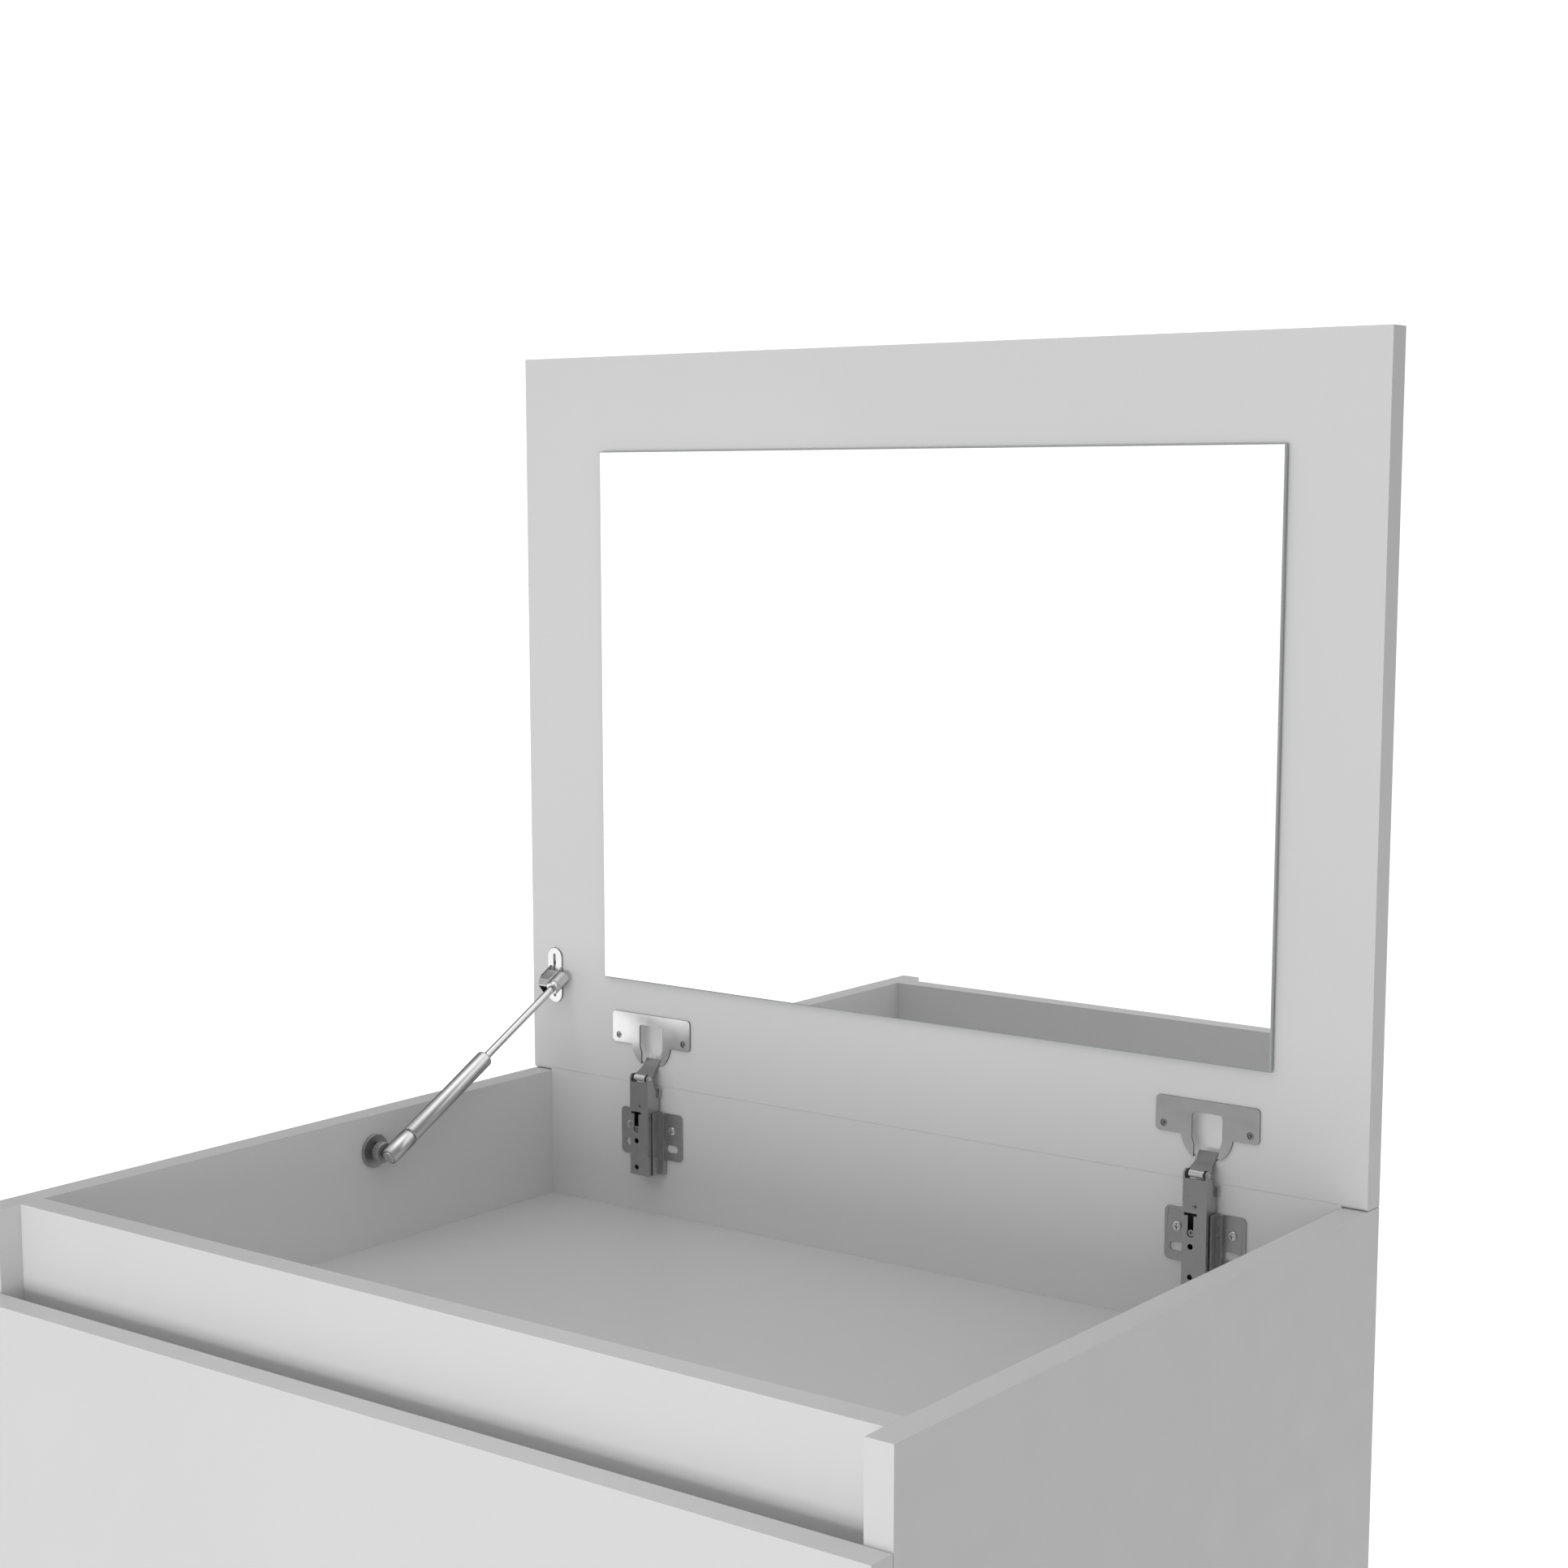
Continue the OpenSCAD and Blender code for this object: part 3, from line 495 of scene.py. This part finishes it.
def arc(centre, radius, start, end, steps):
    """Points along an arc, angles in degrees."""
    angles = [math.radians(start + (end - start) * k / steps) for k in range(steps + 1)]
    return [(centre[0] + radius * math.cos(a), centre[1] + radius * math.sin(a)) for a in angles]


# ---- Screws, cams and glides ----

CROSS_STEPS = 32
# The cross's arms and inner corners as shares of its radius and arm, and its floor as a share of its mouth
CROSS_ARM, CROSS_CORNER, CROSS_FLOOR = 0.22, 1.15, 0.62


def cross_recess(mesh, radius, top, depth, flat, matrix):
    """A flat top of a given radius with a tapered cross driven into it."""
    rim = ring(mesh, flat, top, matrix, CROSS_STEPS)
    half = radius * CROSS_ARM
    corner = half * CROSS_CORNER
    outline = []
    for quarter in range(4):
        turn = Matrix.Rotation(math.radians(90 * quarter), 2)
        outline += [turn @ Vector(point) for point in ((radius, -half), (radius, half), (corner, corner))]
    upper = [mesh.verts.new(matrix @ Vector((*point, top))) for point in outline]
    lower = [mesh.verts.new(matrix @ Vector((*(point * CROSS_FLOOR), top - depth))) for point in outline]
    count = len(outline)
    edges = [mesh.edges.new((rim[k], rim[(k + 1) % CROSS_STEPS])) for k in range(CROSS_STEPS)]
    edges += [mesh.edges.new((upper[k], upper[(k + 1) % count])) for k in range(count)]
    bmesh.ops.triangle_fill(mesh, edges=edges, use_beauty=True)
    for k in range(count):
        after = (k + 1) % count
        mesh.faces.new((upper[k], upper[after], lower[after], lower[k]))
    mesh.faces.new(lower)


# A screw head's cross as a share of the head's radius
HEAD_CROSS = 0.6


def pan_screw(mesh, matrix, head, rise, shank, length):
    """A domed head that sits above its plate, with +Z out of the head."""
    flat = head * 0.72
    skirt = 0.35
    profile = [(flat, rise)]
    for angle in (math.radians(30 * k) for k in (1, 2, 3)):
        height = rise * (skirt + (1 - skirt) * math.cos(angle))
        profile.append((flat + (head - flat) * math.sin(angle), height))
    profile += [(head, 0), (shank, 0), (shank, shank - length), (0, -length)]
    lathe(mesh, profile, matrix, CROSS_STEPS)
    cross_recess(mesh, head * HEAD_CROSS, rise, rise * 1.1, flat, matrix)


def sunk_screw(mesh, matrix, head, shank, length):
    """A countersunk head flush with its plate, with +Z out of the head."""
    rim = 0.15 * MM
    profile = [(head, 0), (head, -rim), (shank, -rim - (head - shank)), (shank, shank - length), (0, -length)]
    lathe(mesh, profile, matrix, CROSS_STEPS)
    cross_recess(mesh, head * HEAD_CROSS, 0, head * 0.5, head, matrix)


def screws(node, direction, maker, materials, sink=0.0, **sizes):
    """One screw in the place of each of a node's solids. A direction of None looks inwards."""
    mesh = bmesh.new()
    for low, high in islands(node):
        centre = (low + high) / 2
        out = direction or Vector((-math.copysign(1, centre.x), 0, 0))
        reach = abs((high - low).dot(out)) / 2
        maker(mesh, aim(centre + out * (reach - sink), out), length=2 * reach - sink, **sizes)
    return replace(node + "_driven", mesh, node, materials, smooth=40)


def cam(mesh, matrix, radius, depth):
    """A cam lock: a drum with a chamfered face and a cross recess."""
    chamfer = 0.5 * MM
    recess_deep = 2.2 * MM
    profile = [(radius - chamfer, 0), (radius, -chamfer), (radius, -depth), (0, -depth)]
    lathe(mesh, profile, matrix, CROSS_STEPS)
    cross_recess(mesh, radius * 0.52, 0, recess_deep, radius - chamfer, matrix)


def cams(node, faces):
    """Cam locks in the place of a node's solids. The faces function says which way a cam's face looks."""
    mesh = bmesh.new()
    for low, high in islands(node):
        size = high - low
        centre = (low + high) / 2
        axis = min(range(3), key=lambda k: size[k])
        out = faces(axis, centre)
        cam(mesh, aim(centre + out * size[axis] / 2, out), max(size) / 2, size[axis])
    return replace(node + "_faces", mesh, node, [NICKEL], smooth=40)


def carcass_cam_face(axis, centre):
    """The faces look down under the tray floor, and backwards in the rear boards and the front rail."""
    return -Z if axis == 2 else Y


def drawer_cam_face(axis, centre):
    """The faces in the drawer's sides look inwards."""
    return Vector((-math.copysign(1, centre.x), 0, 0)) if axis == 0 else Y


def glides():
    """Nylon glides with a dished foot and a nail head sunk in the middle."""
    mesh = bmesh.new()
    for low, high in islands("foot_glides"):
        radius = (high.x - low.x) / 2 / MM
        height = (high.z - low.z) / MM
        foot = (low + high) / 2
        foot.z = low.z
        nail = [(0, 1.1), (2.2, 1.0), (2.5, 0.6)]
        dish = [(2.7, 1.2), (3.4, 1.2), (4.2, 0)]
        rim = [(radius - 1.2, 0), (radius - 0.35, 0.35), (radius, 1.2), (radius, height), (0, height)]
        lathe(mesh, scaled(nail + dish + rim), Matrix.Translation(foot))
    return replace("nylon_glides", mesh, "foot_glides", [NYLON], smooth=40)


# ---- Hinges: sizes in millimetres ----

FLANGE_T = 1.2
FLANGE_TALL = 20.2
FLANGE_CORNER = 2.5
RING_R = 16.0
WINDOW_W, WINDOW_TOP, WINDOW_LOW, WINDOW_CORNER = 19.0, 11.8, -2.6, 2.2
THROAT_W, THROAT_TOP = 16.4, -6.6
FLANGE_HOLE_DX, FLANGE_HOLE_Z, FLANGE_HOLE_D = 26.8, 3.2, 4.3
CUP_R, CUP_INNER_R, PAINTED_LIGHT_LINING_R, PAINTED_LIGHT_LINING_T = 15.35, 14.6, 14.58, 0.1
CUP_STEPS = 64


def flange_outline(half, top):
    """The flange seen from the front, from the cup's middle: wings, ring, throat and window."""
    low = top - FLANGE_TALL
    corner, nook = FLANGE_CORNER, WINDOW_CORNER
    ring_start = math.degrees(math.asin(low / RING_R))
    throat = THROAT_W / 2
    throat_angle = -math.degrees(math.acos(throat / RING_R))
    right = arc((half - corner, top - corner), corner, 90, 0, 6)
    right += arc((half - corner, low + corner), corner, 0, -90, 6)
    right += arc((0, 0), RING_R, ring_start, throat_angle, 14)
    right += [(throat, THROAT_TOP), (WINDOW_W / 2, WINDOW_LOW)]
    right += arc((WINDOW_W / 2 - nook, WINDOW_TOP - nook), nook, 0, 90, 4)
    left = [(-x, z) for x, z in reversed(right)]
    return right + left


def hinge_cup(side):
    """A pressed steel flange with its edge walls painted dark as painted edge shade, and a cup with a pale lining
    behind its window: painted light that lifts the shade in the cup's hollow.
    """
    node = f"hinge_cup_{side}"
    low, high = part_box(node)
    centre = Vector(((low.x + high.x) / 2, low.y, low.z + CUP_R * MM))
    half = (high.x - low.x) / 2 / MM
    top = (high.z - centre.z) / MM
    holes = [arc((dx, FLANGE_HOLE_Z), FLANGE_HOLE_D / 2, 0, 345, 23)
             for dx in (-FLANGE_HOLE_DX, FLANGE_HOLE_DX)]
    mesh = bmesh.new()
    facing = frame_at(centre, X, Z, -Y)
    plate(mesh, flange_outline(half, top), holes, facing, -FLANGE_T, 0)
    floor = (low.y - high.y) / MM
    bowl = [(0, floor), (CUP_R - 1, floor), (CUP_R, floor + 1), (CUP_R, -FLANGE_T), (CUP_INNER_R, -FLANGE_T),
            (CUP_INNER_R, floor + 2), (CUP_INNER_R - 1, floor + 1), (0, floor + 1)]
    lathe(mesh, scaled(bowl), facing, CUP_STEPS)
    # a pale lining sheet in the cup: painted light over the shade of the cup's hollow
    outer, brim = PAINTED_LIGHT_LINING_R, -FLANGE_T - 0.05
    inner = outer - PAINTED_LIGHT_LINING_T
    painted_light_lining = [(0, floor + 1.05), (outer - 2, floor + 1.05), (outer - 0.6, floor + 1.7), (outer, floor + 3),
             (outer, brim), (inner, brim), (inner, floor + 3), (inner - 0.8, floor + 2),
             (inner - 2, floor + 1.4), (0, floor + 1.4)]
    lathe(mesh, scaled(painted_light_lining), facing, CUP_STEPS, 2)
    return replace(f"pressed_cup_{side}", mesh, node, [NICKEL, SHADE_EDGE_STEEL, PAINTED_LIGHT_PLASTIC], 0.3 * MM, 35, 3)


LINK_EYE_R, LINK_BORE_R = 2.1, 1.5
WASHER_R, WASHER_T = 2.5, 1.2
EYE_STEPS = 40
LINK_SLOPE = 143
STRAP_T = 1.3
# The strap's middle line: distance from the pivot, offset from the line through it, share of the full width
STRAP_STATIONS = [(0.6, 1.25, 1.0), (2.3, 1.3, 1.0), (2.7, 1.3, 1.2), (3.6, 1.3, 1.2), (5.5, 1.3, 1.1),
                  (8, 1.3, 1.0), (10.5, 1.3, 0.97), (13, 0.85, 0.98), (16.6, 0.1, 1.0)]


def hinge_link(side):
    """The link: a bright rolled eye on the knuckle pin, and a waisted strap that reaches into the cup."""
    node = f"hinge_link_{side}"
    low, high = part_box(node)
    half = (high.x - low.x) / 2
    pivot = joint_place(f"hinge_link_{side}_pivot")
    pivot.x = (high.x + low.x) / 2
    mesh = bmesh.new()
    eye, bore, chamfer = LINK_EYE_R * MM, LINK_BORE_R * MM, 0.3 * MM
    inner = half - WASHER_T * MM
    at_pin = aim(pivot, X)
    profile = [(bore, -inner), (eye - chamfer, -inner), (eye, chamfer - inner), (eye, inner - chamfer),
               (eye - chamfer, inner), (bore, inner), (bore, -inner)]
    lathe(mesh, profile, at_pin, EYE_STEPS, 1)
    for start, end in ((-half, -inner), (inner, half)):
        wide = WASHER_R * MM
        washer = [(bore, start), (wide, start), (wide, end), (bore, end), (bore, start)]
        lathe(mesh, washer, at_pin, EYE_STEPS, 2)
    slope = math.radians(LINK_SLOPE)
    along = Vector((0, -math.cos(slope), math.sin(slope)))
    across_strap = Vector((0, math.sin(slope), math.cos(slope)))
    thick = STRAP_T / 2 * MM
    loops = []
    for distance, lift, width in STRAP_STATIONS:
        spot = pivot + along * distance * MM + across_strap * lift * MM
        loops.append([mesh.verts.new(spot + X * half * width * sx + across_strap * thick * sp)
                      for sx, sp in ((-1, -1), (1, -1), (1, 1), (-1, 1))])
    for before, after in zip(loops, loops[1:]):
        for k in range(4):
            mesh.faces.new((before[k], before[(k + 1) % 4], after[(k + 1) % 4], after[k]))
    mesh.faces.new(loops[0])
    mesh.faces.new(loops[-1][::-1])
    return replace(f"waisted_link_{side}", mesh, node, [PHOSPHATED, NICKEL, BLACK], 0.2 * MM, smooth=30)


# ---- Gas strut: profiles as (radius, distance down the strut), in millimetres from the lid pivot ----

ROD_AXIS = joint_axis("strut_stroke")
ROD_TOP = joint_place("strut_rod_pivot")
if ROD_AXIS.z > 0:
    ROD_AXIS = -ROD_AXIS
STRUT = aim(ROD_TOP, ROD_AXIS, "X")


def strut_radius(node):
    """The radius of a strut part, which lies square to X."""
    low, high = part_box(node)
    return (high.x - low.x) / 2 / MM


def strut_span(node):
    return [distance / MM for distance in span(node, ROD_TOP, ROD_AXIS)]


def strut_lathe(name, node, profile, materials):
    mesh = bmesh.new()
    lathe(mesh, scaled(profile), STRUT, 64)
    return replace(name, mesh, node, materials, smooth=32)


TUBE_ROLL_R = 1.7
TUBE_WALL = 0.65
ROD_PLAY = 0.2


def strut_tube():
    """The tube: rolled in round the rod at its mouth, hollow, with a groove before its closed end."""
    start, end = strut_span("strut_tube")
    r = strut_radius("strut_tube")
    bore = strut_radius("strut_rod") + ROD_PLAY
    inside = r - TUBE_WALL
    hollow = [(0, end - 1.3), (inside, end - 1.3), (inside, start + 1.5), (bore, start + 1.5)]
    mouth = [(bore, start + 0.5), (bore + 0.5, start)]
    roll = [(r - TUBE_ROLL_R + radius, start + TUBE_ROLL_R - distance)
            for radius, distance in arc((0, 0), TUBE_ROLL_R, 90, 0, 6)]
    neck = [(r, end - 2.0), (r - 0.2, end - 1.5), (r - 0.4, end - 1.3), (r - 1.5, end - 1.1), (r - 1.5, end),
            (0, end)]
    return strut_lathe("gas_spring_tube", "strut_tube", hollow + mouth + roll + neck, [SATIN])


def strut_fitting():
    """The sleeve over the tube's neck, with a lip at its start and a stepped cap at its end."""
    start, end = strut_span("strut_lower_fitting")
    lip = strut_span("strut_tube")[1]
    r = strut_radius("strut_lower_fitting")
    neck = 3.5
    shoulder = [(0, start), (neck, start), (neck, lip - 0.2), (r - 0.7, lip - 0.2), (r - 0.2, lip),
                (r, lip + 0.4)]
    step = [(r, end - 1.5), (r - 0.25, end - 1.1), (r - 0.8, end - 0.9), (r - 0.9, end - 1.2),
            (r - 1.2, end - 1.2)]
    cap = [(r - 1.3, end - 0.4), (r - 1.7, end - 0.1), (1.5, end), (1.2, end - 0.6), (0, end - 0.7)]
    return strut_lathe("capped_sleeve", "strut_lower_fitting", shoulder + step + cap, [SATIN])


def strut_rod():
    start, end = strut_span("strut_rod")
    r = strut_radius("strut_rod")
    chamfer = 0.3
    profile = [(0, start), (r - chamfer, start), (r, start + chamfer), (r, end - chamfer), (r - chamfer, end),
               (0, end)]
    return strut_lathe("polished_rod", "strut_rod", profile, [CHROME])


POST_R, BOSS_R, BOSS_L = 2.25, 6.5, 5.0


def strut_stud():
    """The wall stud: a dished disc, a thin post and a thick boss beside the fitting."""
    node = "strut_wall_stud"
    low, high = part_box(node)
    centre = Vector((low.x, (low.y + high.y) / 2, (low.z + high.z) / 2))
    r = (high.z - low.z) / 2 / MM
    reach = (high.x - low.x) / MM
    disc = [(0, 0), (r, 0), (r, 1.6), (r - 0.4, 2), (r - 1.6, 1.7), (POST_R + 0.8, 1.2), (POST_R, 1.6)]
    near, chamfer = reach - BOSS_L, 0.6
    boss = [(POST_R, near), (BOSS_R - chamfer, near), (BOSS_R, near + chamfer), (BOSS_R, reach - chamfer),
            (BOSS_R - chamfer, reach), (0, reach)]
    mesh = bmesh.new()
    lathe(mesh, scaled(disc + boss), aim(centre, X), 64)
    return replace("dished_stud", mesh, node, [MATT_STEEL], smooth=30)


# The clip's sides and the middle of its lower edge, across the strut's middle line
CLIP_LEFT, CLIP_RIGHT, CLIP_APEX = -11.2, -2.7, -8.4
CLIP_WALL = 0.9
# Along the strut: the distance from the pivot, and the heights of the clip's top and lower edge
CLIP_STATIONS = [(-3.3, 4.9, -2.2), (2.7, 4.9, -5.2), (6.3, 4.9, -5.2), (9.4, 2.3, -5.2)]
CLIP_FLOOR = 6.2
SLEEVE_R = 4.5
# The clip's last two bands of faces lie round its mouth and inside it: the rim is painted pale as a painted
# highlight, the pocket dark as painted shade
CLIP_PAINTED_HIGHLIGHT_BAND, CLIP_PAINTED_SHADE_BAND = 3, 4


def strut_clip():
    """The upper clip: a round sleeve on the rod and a folded, open-ended triangular clip beside it. Its mouth's
    rim is painted pale as a painted highlight, and its pocket painted dark as painted shade.
    """
    node = "strut_upper_clip"
    start, end = strut_span(node)
    r = SLEEVE_R
    rod = strut_radius("strut_rod") + 0.1
    mesh = bmesh.new()
    sleeve = [(0, start), (r - 0.8, start), (r - 0.2, start + 0.3), (r, start + 1), (r, end - 4.2),
              (r - 0.3, end - 3.9), (r - 0.3, end - 3.3), (r, end - 3), (r, end - 1), (r - 0.3, end - 0.3),
              (r - 0.9, end), (rod, end), (rod, end - 1.5), (0, end - 1.5)]
    lathe(mesh, scaled(sleeve), STRUT, 48)
    left, right, apex, wall = CLIP_LEFT, CLIP_RIGHT, CLIP_APEX, CLIP_WALL
    above = ROD_AXIS.cross(X).normalized()
    if above.z < 0:
        above = -above
    beside = frame_at(ROD_TOP, X, above, ROD_AXIS)

    def loop(points, height):
        return [mesh.verts.new(beside @ Vector((x * MM, y * MM, height * MM))) for x, y in points]

    loops = [loop([(left, top - 0.6), (left + 0.6, top), (right, top), (right, top - 2.2), (apex + 0.7, foot),
                   (apex - 0.7, foot)], height) for height, top, foot in CLIP_STATIONS]
    mouth, top, foot = CLIP_STATIONS[-1]
    thin = wall / 3
    near, far, roof = left + thin, right - thin, top - wall
    inner = [(near, roof - 0.2), (near + 0.2, roof), (far - 0.2, roof), (far, roof - 1.3),
             (apex + 0.6, foot + thin), (apex - 0.6, foot + thin)]
    loops += [loop(inner, mouth), loop(inner, CLIP_FLOOR)]
    count = len(inner)
    for index, (before, after) in enumerate(zip(loops, loops[1:])):
        for k in range(count):
            after_k = (k + 1) % count
            face = mesh.faces.new((before[k], before[after_k], after[after_k], after[k]))
            # the rim band takes the pale plastic as a painted highlight, the pocket band and its floor dark steel
            # as painted shade
            face.material_index = {CLIP_PAINTED_HIGHLIGHT_BAND: 2, CLIP_PAINTED_SHADE_BAND: 1}.get(index, 0)
    mesh.faces.new(loops[0][::-1])
    mesh.faces.new(loops[-1]).material_index = 1
    # the bracket's pin shows as a domed stub in the clip's left wall
    stub = [(0, 0.9), (0.9, 0.7), (1.4, 0), (1.4, -1), (0, -1)]
    lathe(mesh, scaled(stub), aim(ROD_TOP + X * (left + 0.3) * MM, -X), 24)
    return replace("folded_clip", mesh, node, [SATIN, BLACKENED_AND_SHADE, PAINTED_LIGHT_PLASTIC], 0.2 * MM, smooth=30)


SLOT_W, SLOT_END = 1.8, 4.0
LUG_T, LUG_HALF, LUG_FOOT = 1.8, 3.4, 8.0
PIN_R, PIN_SHORT, PIN_CHAMFER = 2.0, 1.5, 0.4


def lid_bracket():
    """The lid bracket: a slotted plate with round ends and its edge walls painted dark as painted edge shade, a
    lug and the clip's pin.
    """
    node = "strut_lid_bracket"
    low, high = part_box(node)
    half = (high.z - low.z) / 2 / MM
    pivot = ROD_TOP
    lid_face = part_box("lid_panel")[0].y
    screw = islands("strut_lid_screws")[0]
    centre = Vector(((screw[0].x + screw[1].x) / 2, lid_face, (low.z + high.z) / 2))
    radius = (centre.x - low.x) / MM
    outline = arc((0, half - radius), radius, 0, 180, 16) + arc((0, radius - half), radius, 180, 360, 16)
    slot_r = SLOT_W / 2
    reach = half - SLOT_END - slot_r
    hole = arc((0, reach), slot_r, 0, 180, 8) + arc((0, -reach), slot_r, 180, 360, 8)
    mesh = bmesh.new()
    plate(mesh, outline, [hole], frame_at(centre, X, Z, -Y), 0, FLANGE_T)
    # the lug stands out at the plate's left side: its outline runs forward and up
    rise = (pivot.z - centre.z) / MM
    out = (lid_face - pivot.y) / MM
    lug = [(FLANGE_T * 0.5, rise + LUG_FOOT)] + arc((out, rise), LUG_HALF, 80, -80, 12)
    lug += [(FLANGE_T * 0.5, rise - LUG_FOOT)]
    lug_left = Vector((lug_x(), lid_face, centre.z))
    plate(mesh, lug, [], frame_at(lug_left, -Y, Z, -X), -LUG_T, 0)
    pin_end = (pivot.x - lug_left.x) / MM - PIN_SHORT
    r, chamfer = PIN_R, PIN_CHAMFER
    pin = [(0, -chamfer), (r - chamfer, -chamfer), (r, 0), (r, pin_end - chamfer), (r - chamfer, pin_end),
           (0, pin_end)]
    lathe(mesh, scaled(pin), aim(Vector((lug_left.x, pivot.y, pivot.z)), X), 32)
    return replace("slotted_bracket", mesh, node, [CHROME, SHADE_EDGE_STEEL], 0.3 * MM, 35, 3)


def lug_x():
    """The left face of the bracket's lug: the leftmost vertex in front of the plate."""
    plate_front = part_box("lid_panel")[0].y - 2 * FLANGE_T * MM
    vertices = nodes["strut_lid_bracket"].data.vertices
    return min(vertex.co.x for vertex in vertices if vertex.co.y < plate_front)


# ---- Mirror ----

def mirror():
    """A pane with silvered glass, a narrow ground arris all round and polished sides."""
    low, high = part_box("mirror_glass")
    arris = 0.7 * MM
    arris_deep = 0.56 * MM
    mesh = bmesh.new()

    def rectangle(inset, y):
        return [mesh.verts.new((x, y, z)) for x, z in
                ((low.x + inset, low.z + inset), (high.x - inset, low.z + inset),
                 (high.x - inset, high.z - inset), (low.x + inset, high.z - inset))]

    front = rectangle(arris, low.y)
    rim = rectangle(0, low.y + arris_deep)
    rear_rim = rectangle(0, high.y - arris_deep)
    rear = rectangle(arris, high.y)
    mesh.faces.new(front).material_index = 0
    mesh.faces.new(rear[::-1]).material_index = 2
    for before, after in ((front, rim), (rim, rear_rim), (rear_rim, rear)):
        for k in range(4):
            face = mesh.faces.new((before[k], before[(k + 1) % 4], after[(k + 1) % 4], after[k]))
            face.material_index = 1
    materials = [SLOT_MATERIALS["mirror_silver"], EDGE_GLASS, BLACK]
    return replace("mirror_pane", mesh, "mirror_glass", materials, smooth=20)


# ---- Edge band ----

# The gap under the lid, the lid's round lower edge, and the band in front of it, in millimetres
LID_GAP, LID_EDGE_R = 0.4, 2.1
BAND_T, BAND_TIP, BAND_CLEARANCE = 0.1, 1.55, 0.05
BAND_BACK, BAND_FRONT = 0.05, 0.02


def edge_band():
    """A thin band on the back panel's top edge, with a lip that stands in front of the lid's round edge.

    It makes the seam a fine, light line, and stays outside the circle in which the lid's edge turns.
    """
    low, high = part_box("back_panel")
    board = (high.y - low.y) / MM
    front = board - BAND_FRONT
    centre = (board - LID_EDGE_R, LID_GAP + LID_EDGE_R)
    radius = LID_EDGE_R + BAND_CLEARANCE
    tip_angle = -math.degrees(math.asin((centre[1] - BAND_TIP) / radius))
    hollow = arc(centre, radius, tip_angle, -80, 8)
    foot = hollow[-1][0]
    outline = [(BAND_BACK, 0), (front, 0), (front, BAND_TIP)] + hollow + [(foot, BAND_T), (BAND_BACK, BAND_T)]
    mesh = bmesh.new()
    corner = Vector((low.x, high.y, high.z))
    prism(mesh, scaled(outline), low.x - high.x, 0, frame_at(corner, -Y, Z, -X))
    return piece("back_edge_band", mesh, "back_panel", [SLOT_MATERIALS[slot_of("back_panel")]])


# ---- Build ----

screws("hinge_plate_screws", -Y, pan_screw, [NICKEL],
       sink=1.2 * MM, head=2.8 * MM, rise=1.2 * MM, shank=1.7 * MM)
screws("hinge_cup_screws", -Y, sunk_screw, [DARK_NICKEL], sink=0.3 * MM, head=2.0 * MM, shank=1.4 * MM)
screws("hinge_adjusting_screws", -Y, sunk_screw, [DARK_NICKEL], head=1.9 * MM, shank=1.6 * MM)
screws("strut_wall_screws", X, sunk_screw, [BLACKENED_AND_SHADE], head=1.6 * MM, shank=1.4 * MM)
# the lid screws sit sunk in the bracket's slot in dark steel: painted shade in the slot
screws("strut_lid_screws", -Y, sunk_screw, [BLACKENED_AND_SHADE], sink=1.5 * MM, head=1.3 * MM, shank=1.1 * MM)
screws("runner_screws", None, pan_screw, [NICKEL], head=3.4 * MM, rise=0.8 * MM, shank=1.9 * MM)
cams("cam_locks", carcass_cam_face)
cams("drawer_cam_locks", drawer_cam_face)
glides()
for hand in ("left", "right"):
    hinge_cup(hand)
    hinge_link(hand)
strut_tube()
strut_fitting()
strut_rod()
strut_stud()
strut_clip()
lid_bracket()
mirror()
edge_band()
